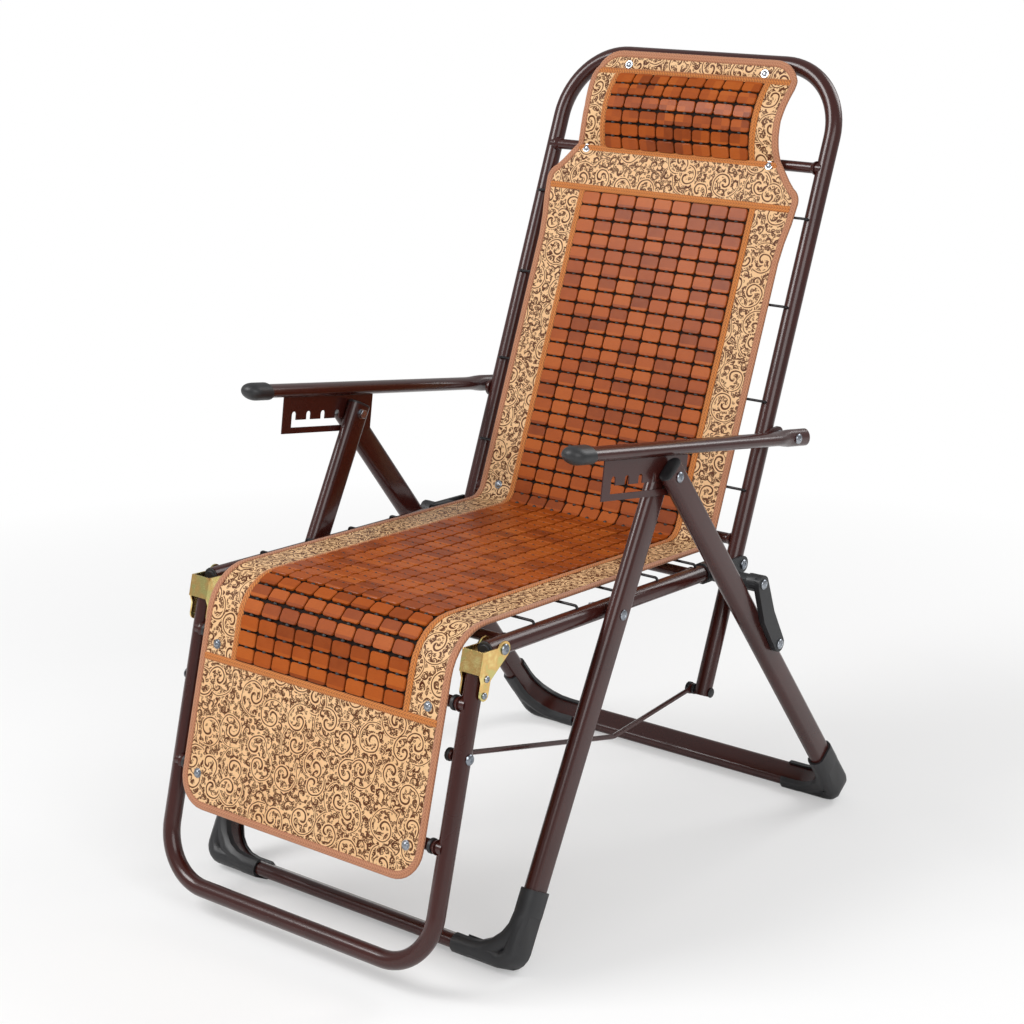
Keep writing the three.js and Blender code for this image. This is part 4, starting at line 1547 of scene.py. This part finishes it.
    def bent(self, flat: Vector, centre: Vector | None = None) -> Vector:
        """Lays a flat place on the mat's line.

        Args:
            flat: across the mat, along it and out of its face.
            centre: where a stiff piece's middle is across and along the mat, if it is stiff.

        Returns:
            The place on the chair.
        """
        middle = flat if centre is None else centre
        spot, heading, face = self.locate(middle.y)
        step = 0.5 * MM
        high = self.bulge(middle.x, middle.y)
        lean = (self.bulge(middle.x + step, middle.y) - self.bulge(middle.x - step, middle.y)) / (2 * step)
        fall = (self.bulge(middle.x, middle.y + step) - self.bulge(middle.x, middle.y - step)) / (2 * step)
        out = (face - ACROSS * lean - heading * max(-1.2, min(1.2, fall))).normalized()
        down = (heading - out * heading.dot(out)).normalized()
        aside = (ACROSS - out * ACROSS.dot(out)).normalized()
        start = spot + ACROSS * middle.x + face * high
        return start + aside * (flat.x - middle.x) + down * (flat.y - middle.y) + out * flat.z


@dataclass(frozen=True)
class Stretch:
    """A stretch of the mat, and the one body that carries it, or the two bodies at its ends."""

    name: str
    start: float
    end: float
    first: str
    second: str = ""

    def join(self, thing: bpy.types.Object, slot: Slot, mat: MatLine) -> None:
        """Puts a piece of the stretch on its body; a piece of a stretch between two bodies only has its place
        baked into its mesh, and rides on no body.

        Args:
            thing: the object.
            slot: its material slot, which is not used.
            mat: the mat's line.
        """
        if self.second:
            mat.locate(self.start)[0]
            mat.locate(self.end)[0]
            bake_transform(thing)
        else:
            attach(thing, self.first)


@dataclass
class Mat:
    """The mat: cloth, edge binding, tapes, tiles, knots and the screws that hold it."""

    stock: Stock
    line: MatLine
    covers: dict[str, str] = field(
        default_factory=lambda: {"back": "mat_back", "seat": "mat_seat", "flap": "mat_footrest"}
    )
    made: dict[str, list[bpy.types.Object]] = field(default_factory=dict)

    @property
    def stretches(self) -> list[Stretch]:
        """The mat's stretches, from its head to its flap."""
        marks = self.line.marks
        rear, front = (marks[1] + marks[2]) / 2, (marks[3] + marks[4]) / 2
        upper, lower = marks[1] - self.line.crease_slack, marks[2] + self.line.crease_slack
        return [
            Stretch("back", 0, upper, "back"),
            Stretch("crease_upper", upper, rear, "back", "back_bolts"),
            Stretch("crease_lower", rear, lower, "back_bolts", "seat"),
            Stretch("seat", lower, marks[3], "seat"),
            Stretch("front_upper", marks[3], front, "seat", "hinge_bolts"),
            Stretch("front_lower", front, marks[4], "hinge_bolts", "footrest"),
            Stretch("flap", marks[4], marks[5], "footrest"),
        ]

    def finish(
        self, mesh: bmesh.types.BMesh, name: str, slot: Slot, part: Stretch, smooth: float = 50
    ) -> bpy.types.Object:
        """Turns a bent mesh into a piece of a stretch.

        Args:
            mesh: the mesh, which is freed.
            name: the piece's name.
            slot: its material slot.
            part: the stretch.
            smooth: the sharpest angle that stays smooth.

        Returns:
            The object.
        """
        bmesh.ops.recalc_face_normals(mesh, faces=mesh.faces)
        data = bpy.data.meshes.new(name)
        mesh.to_mesh(data)
        mesh.free()
        thing = bpy.data.objects.new(name, data)
        bpy.context.scene.collection.objects.link(thing)
        data.materials.append(self.stock[slot])
        data.polygons.foreach_set("use_smooth", [True] * len(data.polygons))
        data.set_sharp_from_angle(angle=math.radians(smooth))
        part.join(thing, slot, self.line)
        LOG.info("%s has %d faces", name, len(data.polygons))
        self.made.setdefault(part.name, []).append(thing)
        return thing

    def lay(self, mesh: bmesh.types.BMesh) -> None:
        """Keeps each point's flat place as the map, and bends the mesh.

        Args:
            mesh: the flat mesh.
        """
        layer = mesh.loops.layers.uv.get("flat") or mesh.loops.layers.uv.new("flat")
        for face in mesh.faces:
            for loop in face.loops:
                loop[layer].uv = loop.vert.co.xy
        for vert in mesh.verts:
            vert.co = self.line.bent(vert.co)

    def strip(
        self,
        rows: Sequence[float],
        columns: int,
        shape: Callable[[float, float], tuple[float, float]],
        thick: float,
    ) -> bmesh.types.BMesh:
        """Draws a flat strip.

        Args:
            rows: the places of its rows along the mat.
            columns: how many cells it has across.
            shape: gives the distance from the middle and the height for a share across and a place along.
            thick: its thickness.

        Returns:
            The flat mesh.
        """
        mesh = bmesh.new()
        bmesh.ops.create_grid(mesh, x_segments=columns, y_segments=len(rows) - 1, size=1)
        for vert in mesh.verts:
            along = rows[round((vert.co.y + 1) / 2 * (len(rows) - 1))]
            x, high = shape((vert.co.x + 1) / 2, along)
            vert.co = Vector((x, along, high))
        top = bmesh.ops.extrude_face_region(mesh, geom=mesh.faces[:])["geom"]
        upper = [part for part in top if isinstance(part, bmesh.types.BMVert)]
        bmesh.ops.translate(mesh, vec=(0, 0, thick), verts=upper)
        return mesh

    def cloth(self, part: Stretch) -> bpy.types.Object:
        """Builds a stretch's cloth.

        Args:
            part: the stretch.

        Returns:
            The object.
        """
        line = self.line
        rows = line.stations(part.start, part.end)

        def shape(share: float, along: float) -> tuple[float, float]:
            """Spreads the cells over the width inside the binding."""
            return (share * 2 - 1) * (line.half_width(along) - 1.5 * MM), line.thick_low

        mesh = self.strip(rows, 18, shape, line.thick_high - line.thick_low)
        self.lay(mesh)
        thing = self.finish(mesh, f"mat_cloth_{part.name}", Slot.CLOTH, part)
        if part.name in self.covers:
            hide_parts(self.covers[part.name])
        return thing

    def declare(self, part: Stretch) -> None:
        """Measures a stretch's cloth: its rows, the spans between them, its width and its area, none of which
        is used.

        Args:
            part: the stretch, whose pieces are all made.
        """
        line = self.line
        rows = line.stations(part.start, part.end)
        spans = [math.hypot(b - a, line.bulge(0, b) - line.bulge(0, a)) for a, b in zip(rows, rows[1:])]
        width = 2 * max(line.half_width(along) for along in rows)
        area = sum(
            (line.half_width(a) + line.half_width(b) - 3 * MM) * span
            for a, b, span in zip(rows, rows[1:], spans)
        )

    def edge(self, part: Stretch) -> bpy.types.Object:
        """Builds the binding that is folded over the mat's edge.

        Args:
            part: the stretch.

        Returns:
            The object.
        """
        line = self.line
        places = [(x, along) for x, along in line.outline if part.start - 1e-6 <= along <= part.end + 1e-6]
        if part.name != "back":
            places.insert(0, (line.half_width(part.start), part.start))
        if part.name != "flap":
            places.append((line.half_width(part.end), part.end))
        dense: list[Vector] = []
        for (x0, a0), (x1, a1) in zip(places, places[1:]):
            spacing = 0.005 if part.name == "back" else 0.014
            count = max(1, math.ceil(math.hypot(x1 - x0, a1 - a0) / spacing))
            for step in range(count):
                dense.append(Vector((x0 + (x1 - x0) * step / count, a0 + (a1 - a0) * step / count)))
        dense.append(Vector(places[-1]))
        rows = [dense[0]] + [b for a, b in zip(dense, dense[1:]) if (b - a).length > 0.3 * MM]
        section = [
            (10.5, 3.65), (9.9, 4.5), (5.6, 4.8), (1.8, 4.6), (0.3, 4.1), (-0.4, 2.6), (0.3, 0.9), (1.8, 0.2),
            (9.9, 0.25), (10.5, 0.7), (10.5, 3.65),
        ]
        mesh = bmesh.new()
        bmesh.ops.create_grid(mesh, x_segments=len(section) - 1, y_segments=len(rows) - 1, size=1)
        layer = mesh.loops.layers.uv.new("flat")
        reach = [0.0]
        for a, b in zip(rows, rows[1:]):
            reach.append(reach[-1] + (b - a).length)
        spots: dict[bmesh.types.BMVert, Vector] = {}
        maps: dict[bmesh.types.BMVert, tuple[float, float]] = {}
        for vert in mesh.verts:
            row = round((vert.co.y + 1) / 2 * (len(rows) - 1))
            inset, high = section[round((vert.co.x + 1) / 2 * (len(section) - 1))]
            heading = (rows[min(row + 1, len(rows) - 1)] - rows[max(row - 1, 0)]).normalized()
            if part.name == "back" and row == 0:
                heading = Vector((1, 0))
            if part.name == "flap" and row == len(rows) - 1:
                heading = Vector((-1, 0))
            inward = Vector((-heading.y, heading.x))
            spot = rows[row] + inward * inset * MM
            spots[vert] = Vector((max(spot.x, 0.0), spot.y, high * MM))
            maps[vert] = (inset * MM, part.start + reach[row])
        for face in mesh.faces:
            for loop in face.loops:
                loop[layer].uv = maps[loop.vert]
        for vert, spot in spots.items():
            vert.co = spot
        bmesh.ops.remove_doubles(mesh, verts=mesh.verts, dist=0.01 * MM)
        half = mesh.verts[:] + mesh.edges[:] + mesh.faces[:]
        bmesh.ops.mirror(mesh, geom=half, axis="X", merge_dist=0.05 * MM)
        bmesh.ops.holes_fill(mesh, edges=mesh.edges, sides=len(section))
        for vert in mesh.verts:
            vert.co = line.bent(vert.co)
        return self.finish(mesh, f"mat_binding_{part.name}", Slot.BINDING, part, 60)

    def tapes(self, part: Stretch) -> bpy.types.Object | None:
        """Builds the tapes on a stretch: beside the tiles, and across the mat above and below them.

        Args:
            part: the stretch.

        Returns:
            The object, if the stretch has tapes.
        """
        line = self.line
        mesh = bmesh.new()
        low = line.thick_high + 0.05 * MM

        def add(
            rows: Sequence[float],
            columns: int,
            shape: Callable[[float, float], tuple[float, float]],
            turned_map: bool,
        ) -> None:
            """Adds one tape."""
            tape = self.strip(rows, columns, shape, 0.5 * MM)
            layer = tape.loops.layers.uv.new("flat")
            for face in tape.faces:
                for loop in face.loops:
                    x, along, _ = loop.vert.co
                    loop[layer].uv = (along, x) if turned_map else (x, along)
            for vert in tape.verts:
                vert.co = line.bent(vert.co)
            data = bpy.data.meshes.new("tape")
            tape.to_mesh(data)
            tape.free()
            mesh.from_mesh(data)
            bpy.data.meshes.remove(data)

        panels = [
            (line.panel_half, line.panel_top, line.panel_end),
            (line.head_half, line.head_top, line.head_end),
        ]
        for half, top, foot in panels:
            start, end = max(part.start, top), min(part.end, foot)
            if end <= start:
                continue
            for side in SIDES.values():
                middle = side * (half + line.tape / 2)

                def beside(share: float, _: float, middle: float = middle) -> tuple[float, float]:
                    """Domes the tape across its width."""
                    offset = share * 2 - 1
                    return middle + offset * line.tape / 2, low + 0.9 * MM * (1 - offset**2)

                add(line.stations(start, end), 6, beside, False)
        crossings = [line.head_reach - line.head_tape_high, line.head_reach - line.head_tape_low]
        crossings += [line.panel_top - line.tape, line.panel_end]
        for place in crossings:
            if part.start <= place < part.end:
                rows = [place + line.tape * step / 6 for step in range(7)]

                def across(share: float, along: float, place: float = place) -> tuple[float, float]:
                    """Domes the tape along its width and spans the mat."""
                    offset = (along - place) / line.tape * 2 - 1
                    reach = line.half_width(along) - line.binding + 1 * MM
                    return (share * 2 - 1) * reach, low + 0.9 * MM * (1 - offset**2)

                add(rows, 24, across, True)
        if not mesh.faces:
            mesh.free()
            return None
        return self.finish(mesh, f"mat_tape_{part.name}", Slot.TAPE, part)

    def tiles(self, part: Stretch) -> None:
        """Builds a stretch's tiles and the dark knots between their rows.

        Args:
            part: the stretch.
        """
        line = self.line
        thick = line.tile_high - line.thick_high - 0.2 * MM
        template = tile_template(line.pitch_x - line.tile_gap, line.pitch_d - line.tile_gap, thick)
        mesh, knots = bmesh.new(), bmesh.new()
        layer = mesh.loops.layers.uv.new("flat")
        for row in range(line.rows):
            centre = line.panel_top + (row + 0.5) * line.pitch_d
            if not part.start <= centre < part.end:
                continue
            for column in range(line.columns):
                x = (column - (line.columns - 1) / 2) * line.pitch_x
                middle = Vector((x, centre, line.thick_high + 0.1 * MM))
                place_tile(mesh, layer, template, middle, lambda spot: line.bent(spot, middle))
                if row:
                    knot(knots, line.bent(Vector((x, centre - line.pitch_d / 2, line.knot_high))))
        bpy.data.meshes.remove(template)
        if not mesh.faces:
            mesh.free()
            knots.free()
            return
        self.finish(mesh, f"mat_tiles_{part.name}", Slot.BAMBOO, part, 30)
        self.finish(knots, f"mat_knots_{part.name}", Slot.PLASTIC, part)

    def head_tiles(self) -> None:
        """Builds the panel of tiles over the pillow, with its knots."""
        line = self.line
        middles, pitch = line.head_rows_at()
        thick = line.tile_high - line.thick_high - 0.2 * MM
        template = tile_template(line.head_pitch - line.head_gap, pitch - line.head_gap, thick)
        mesh, knots = bmesh.new(), bmesh.new()
        layer = mesh.loops.layers.uv.new("flat")
        base = line.thick_high + 0.1 * MM
        for row, along in enumerate(middles):
            for column in range(line.head_columns):
                x = (column - (line.head_columns - 1) / 2) * line.head_pitch
                middle = Vector((x, along, base))
                place_tile(mesh, layer, template, middle, lambda spot: line.bent(spot, middle))
                if row:
                    between = (along + middles[row - 1]) / 2
                    knot(knots, line.bent(Vector((x, between, line.knot_high))))
        bpy.data.meshes.remove(template)
        head = self.stretches[0]
        self.finish(mesh, "head_tiles", Slot.BAMBOO, head, 30)
        self.finish(knots, "head_knots", Slot.PLASTIC, head)

    def screws(self) -> None:
        """Builds the screws that hold the mat to its crossbars and tubes."""
        line = self.line
        places = [
            (0.125, 0.022, "back"), (0.169, line.head_reach - 0.583, "back"),
            (0.187, line.marks[1] - 0.004, "crease_upper"),
            (0.193, line.marks[4] + 0.043, "flap"), (0.193, line.marks[4] + 0.226, "flap"),
        ]
        parts = {part.name: part for part in self.stretches}
        for number, (x, along, name) in enumerate(places, 1):
            for word, side in SIDES.items():
                mesh = bmesh.new()
                base = line.bent(Vector((side * x, along, line.thick_high + 0.2 * MM)))
                face = line.locate(along)[2]
                sunk = base - face * 0.5 * MM
                Screw(sunk, face, 0.2 * MM, head=4.4 * MM, height=3.2 * MM, washer=6.8 * MM).draw(mesh)
                screw = Piece(f"mat_screw_{number}_{word}", parts[name].first, Slot.ZINC, 35)
                screw.make(mesh, self.stock, parts[name], line)

    def build(self) -> None:
        """Builds every stretch."""
        for part in self.stretches:
            self.cloth(part)
            self.edge(part)
            self.tapes(part)
            self.tiles(part)
        self.head_tiles()
        for part in self.stretches:
            self.declare(part)
        self.screws()


def tile_template(width: float, length: float, thick: float) -> bpy.types.Mesh:
    """Draws one tile, standing on the origin: round corners and eased upper edges.

    Args:
        width: its size across the mat.
        length: its size along the mat.
        thick: its thickness.

    Returns:
        The tile's mesh.
    """
    mesh = bmesh.new()
    bmesh.ops.create_cube(mesh, size=1)
    bmesh.ops.transform(mesh, matrix=Matrix.Diagonal((width, length, thick, 1)), verts=mesh.verts)
    bmesh.ops.translate(mesh, vec=(0, 0, thick / 2), verts=mesh.verts)
    upright = [edge for edge in mesh.edges if abs(edge.verts[0].co.z - edge.verts[1].co.z) > thick / 2]
    bmesh.ops.bevel(mesh, geom=upright, offset=4.2 * MM, segments=3, affect="EDGES", profile=0.5, material=-1)
    rim = [edge for edge in mesh.edges if all(vert.co.z > thick * 0.9 for vert in edge.verts)]
    bmesh.ops.bevel(mesh, geom=rim, offset=0.9 * MM, segments=1, affect="EDGES", profile=0.5, material=-1)
    data = bpy.data.meshes.new("tile")
    mesh.to_mesh(data)
    mesh.free()
    return data


def place_tile(
    mesh: bmesh.types.BMesh,
    layer: Any,
    template: bpy.types.Mesh,
    flat: Vector,
    bend: Callable[[Vector], Vector],
) -> None:
    """Adds one tile.

    Args:
        mesh: the mesh to add to.
        layer: its flat map.
        template: the tile's mesh.
        flat: the tile's flat place.
        bend: lays a flat place on the chair.
    """
    count, faces = len(mesh.verts), len(mesh.faces)
    mesh.from_mesh(template)
    mesh.verts.ensure_lookup_table()
    mesh.faces.ensure_lookup_table()
    fresh = mesh.verts[count:]
    bmesh.ops.translate(mesh, vec=flat, verts=fresh)
    for face in mesh.faces[faces:]:
        for loop in face.loops:
            loop[layer].uv = loop.vert.co.xy
    for vert in fresh:
        vert.co = bend(vert.co)


def knot(mesh: bmesh.types.BMesh, place: Vector, size: float = 2.9 * MM) -> None:
    """Adds one knot of the cord that strings the tiles.

    Args:
        mesh: the mesh to add to.
        place: its place.
        size: its radius.
    """
    oval = Matrix.Translation(place) @ Matrix.Diagonal((1.45, 1, 1, 1))
    bmesh.ops.create_icosphere(mesh, subdivisions=1, radius=size, matrix=oval)


@dataclass
class Pillow:
    """The stuffed pillow behind the mat's head, swollen by simulation."""

    stock: Stock
    line: MatLine
    half_width: float = 0.150
    half_length: float = 0.057
    thin: float = 2.5 * MM
    base: float = 0.4 * MM
    swell: float = 5 * MM

    def top(self, x: float, along: float) -> float:
        """How high the pillow may stand.

        Args:
            x: how far across the mat.
            along: how far from the head's edge.

        Returns:
            The height of the underside of the cloth over it.
        """
        return self.line.bulge(x, along) + self.line.thick_low - 0.2 * MM

    def body(self) -> bpy.types.Object:
        """Draws the stuffed body, flat behind the mat's head.

        Returns:
            The object, in flat places.
        """
        mesh = bmesh.new()
        bmesh.ops.create_cube(mesh, size=2)
        bmesh.ops.subdivide_edges(mesh, edges=mesh.edges, cuts=15, use_grid_fill=True)
        for vert in mesh.verts:
            u, v, w = vert.co
            x = u * self.half_width * (1 - 0.03 * (1 - v * v))
            along = self.line.swell_middle + v * self.half_length * (1 - 0.05 * (1 - u * u))
            round_off = max(0.0, 1 - abs(u) ** 8) ** 0.5
            swell = max(0.0, self.top(x, along) - self.base - 2 * self.thin)
            high = self.base + self.thin + swell * round_off
            vert.co = Vector((x, along, self.base + (high - self.base) * (w + 1) / 2))
        data = bpy.data.meshes.new("pillow_body")
        mesh.to_mesh(data)
        mesh.free()
        thing = bpy.data.objects.new("pillow_body", data)
        bpy.context.scene.collection.objects.link(thing)
        return thing

    def swollen(self, thing: bpy.types.Object) -> None:
        """Swells the body with a short cloth simulation, its moves held to a limit.

        Args:
            thing: the body.
        """
        scene = bpy.context.scene
        remesh = thing.modifiers.new("even faces", "REMESH")
        remesh.mode = "VOXEL"
        remesh.voxel_size = 0.005
        self.settle(thing)
        rest = [vert.co.copy() for vert in thing.data.vertices]
        cloth = thing.modifiers.new("stuffing", "CLOTH")
        cloth.settings.use_pressure = True
        cloth.settings.uniform_pressure_force = 4
        cloth.settings.quality = 6
        cloth.settings.effector_weights.gravity = 0
        for number in range(1, 21):
            scene.frame_set(number)
        self.settle(thing)
        scene.frame_set(1)
        for vert, start in zip(thing.data.vertices, rest):
            move = vert.co - start
            if move.length > self.swell:
                vert.co = start + move.normalized() * self.swell
            vert.co.z = min(max(vert.co.z, self.base), self.top(vert.co.x, vert.co.y))

    def settle(self, thing: bpy.types.Object) -> None:
        """Applies the object's modifiers to its mesh.

        Args:
            thing: the object.
        """
        graph = bpy.context.evaluated_depsgraph_get()
        settled = bpy.data.meshes.new_from_object(thing.evaluated_get(graph))
        thing.modifiers.clear()
        old = thing.data
        thing.data = settled
        bpy.data.meshes.remove(old)

    def build(self) -> None:
        """Builds the pillow."""
        thing = self.body()
        self.swollen(thing)
        mesh = bmesh.new()
        mesh.from_mesh(thing.data)
        bpy.data.objects.remove(thing)
        layer = mesh.loops.layers.uv.new("flat")
        for face in mesh.faces:
            for loop in face.loops:
                loop[layer].uv = (loop.vert.co.x + 1, loop.vert.co.y)
        for vert in mesh.verts:
            spot, _, face = self.line.locate(vert.co.y)
            vert.co = spot + ACROSS * vert.co.x + face * vert.co.z
        cover = Piece("pillow_cover", "back", Slot.CLOTH, 80, 0, ("pillow",)).make(mesh, self.stock)


# The studio


@dataclass
class Studio:
    """A plain pale floor, soft lamps and the camera at the photograph's angle."""

    target: Vector = field(default_factory=lambda: Vector((0, 0, 0.5)))

    def camera(self) -> None:
        """Places the camera."""
        azimuth, pitch = math.radians(38.985), math.radians(15.916)
        data = bpy.data.cameras.new("camera")
        data.sensor_width = 36
        data.lens = 36 * 2307.9 / 1024
        camera = bpy.data.objects.new("camera", data)
        camera.location = (2.0248, -2.4994, 1.4311)
        camera.rotation_euler = (math.pi / 2 - pitch, 0, azimuth)
        bpy.context.scene.collection.objects.link(camera)
        bpy.context.scene.camera = camera

    def lamp(self, name: str, place: Sequence[float], size: float, power: float) -> None:
        """Places one soft lamp, aimed at the chair.

        Args:
            name: the lamp's name.
            place: where it is.
            size: its width.
            power: its power in watts.
        """
        data = bpy.data.lights.new(name, "AREA")
        data.size = size
        data.energy = power
        lamp = bpy.data.objects.new(name, data)
        lamp.location = place
        lamp.rotation_euler = (self.target - Vector(place)).to_track_quat("-Z", "Y").to_euler()
        bpy.context.scene.collection.objects.link(lamp)

    def world(self) -> None:
        """Makes the surroundings: white to the camera, softer for the light."""
        world = bpy.data.worlds.new("studio")
        bpy.context.scene.world = world
        world.use_nodes = True
        tree = world.node_tree
        tree.nodes.clear()
        path = tree.nodes.new("ShaderNodeLightPath")
        seen = tree.nodes.new("ShaderNodeBackground")
        seen.inputs[0].default_value = (1, 1, 1, 1)
        seen.inputs[1].default_value = 1
        light = tree.nodes.new("ShaderNodeBackground")
        light.inputs[0].default_value = (1, 1, 1, 1)
        light.inputs[1].default_value = 0.45
        mixed = tree.nodes.new("ShaderNodeMixShader")
        output = tree.nodes.new("ShaderNodeOutputWorld")
        tree.links.new(path.outputs["Is Camera Ray"], mixed.inputs[0])
        tree.links.new(light.outputs[0], mixed.inputs[1])
        tree.links.new(seen.outputs[0], mixed.inputs[2])
        tree.links.new(mixed.outputs[0], output.inputs[0])

    def floor(self) -> None:
        """Builds the floor, which fades to white away from the chair."""
        mesh = bmesh.new()
        bmesh.ops.create_circle(mesh, cap_ends=True, segments=96, radius=9)
        data = bpy.data.meshes.new("floor")
        mesh.to_mesh(data)
        mesh.free()
        floor = bpy.data.objects.new("floor", data)
        bpy.context.scene.collection.objects.link(floor)
        graph = Graph("pale_floor")
        x, y, _ = graph.split(graph.where())
        reach = (x * x + y * y).maths("SQRT")
        fade = ((reach - 0.6) / 1.5).maths("MAXIMUM", 0.35).maths("MINIMUM", 1)
        graph.set(Base_Color=(0.86, 0.86, 0.86), Roughness=0.9, Specular_IOR_Level=0.2)
        seen = graph.node("ShaderNodeLightPath", output="Is Camera Ray")
        glow = graph.node("ShaderNodeEmission", None, {0: (1, 1, 1), 1: 1.0})
        lit = Signal(graph, graph.surface.outputs[0])
        mixed = graph.node("ShaderNodeMixShader", None, {0: fade * seen, 1: lit, 2: glow})
        graph.tree.links.new(mixed.link, graph.output.inputs[0])
        data.materials.append(graph.material)

    def build(self) -> None:
        """Builds the studio."""
        scene = bpy.context.scene
        scene.view_settings.view_transform = "Standard"
        self.camera()
        self.world()
        self.floor()
        self.lamp("key", (-1.6, -2.4, 3.0), 1.6, 92)
        self.lamp("fill", (2.6, -1.6, 2.0), 2.0, 42)
        self.lamp("rim", (1.2, 2.6, 2.6), 1.8, 46)


def main() -> None:
    """Builds the chair and its studio, in order."""
    logging.basicConfig(level=logging.INFO, format="%(name)s: %(message)s")
    random.seed(7)
    line = MatLine()
    stock = Stock(line)
    Studio().build()
    Frame(stock).build()
    Armrests(stock).build()
    Mat(stock, line).build()
    Pillow(stock, line).build()


if __name__ == "__main__":
    main()
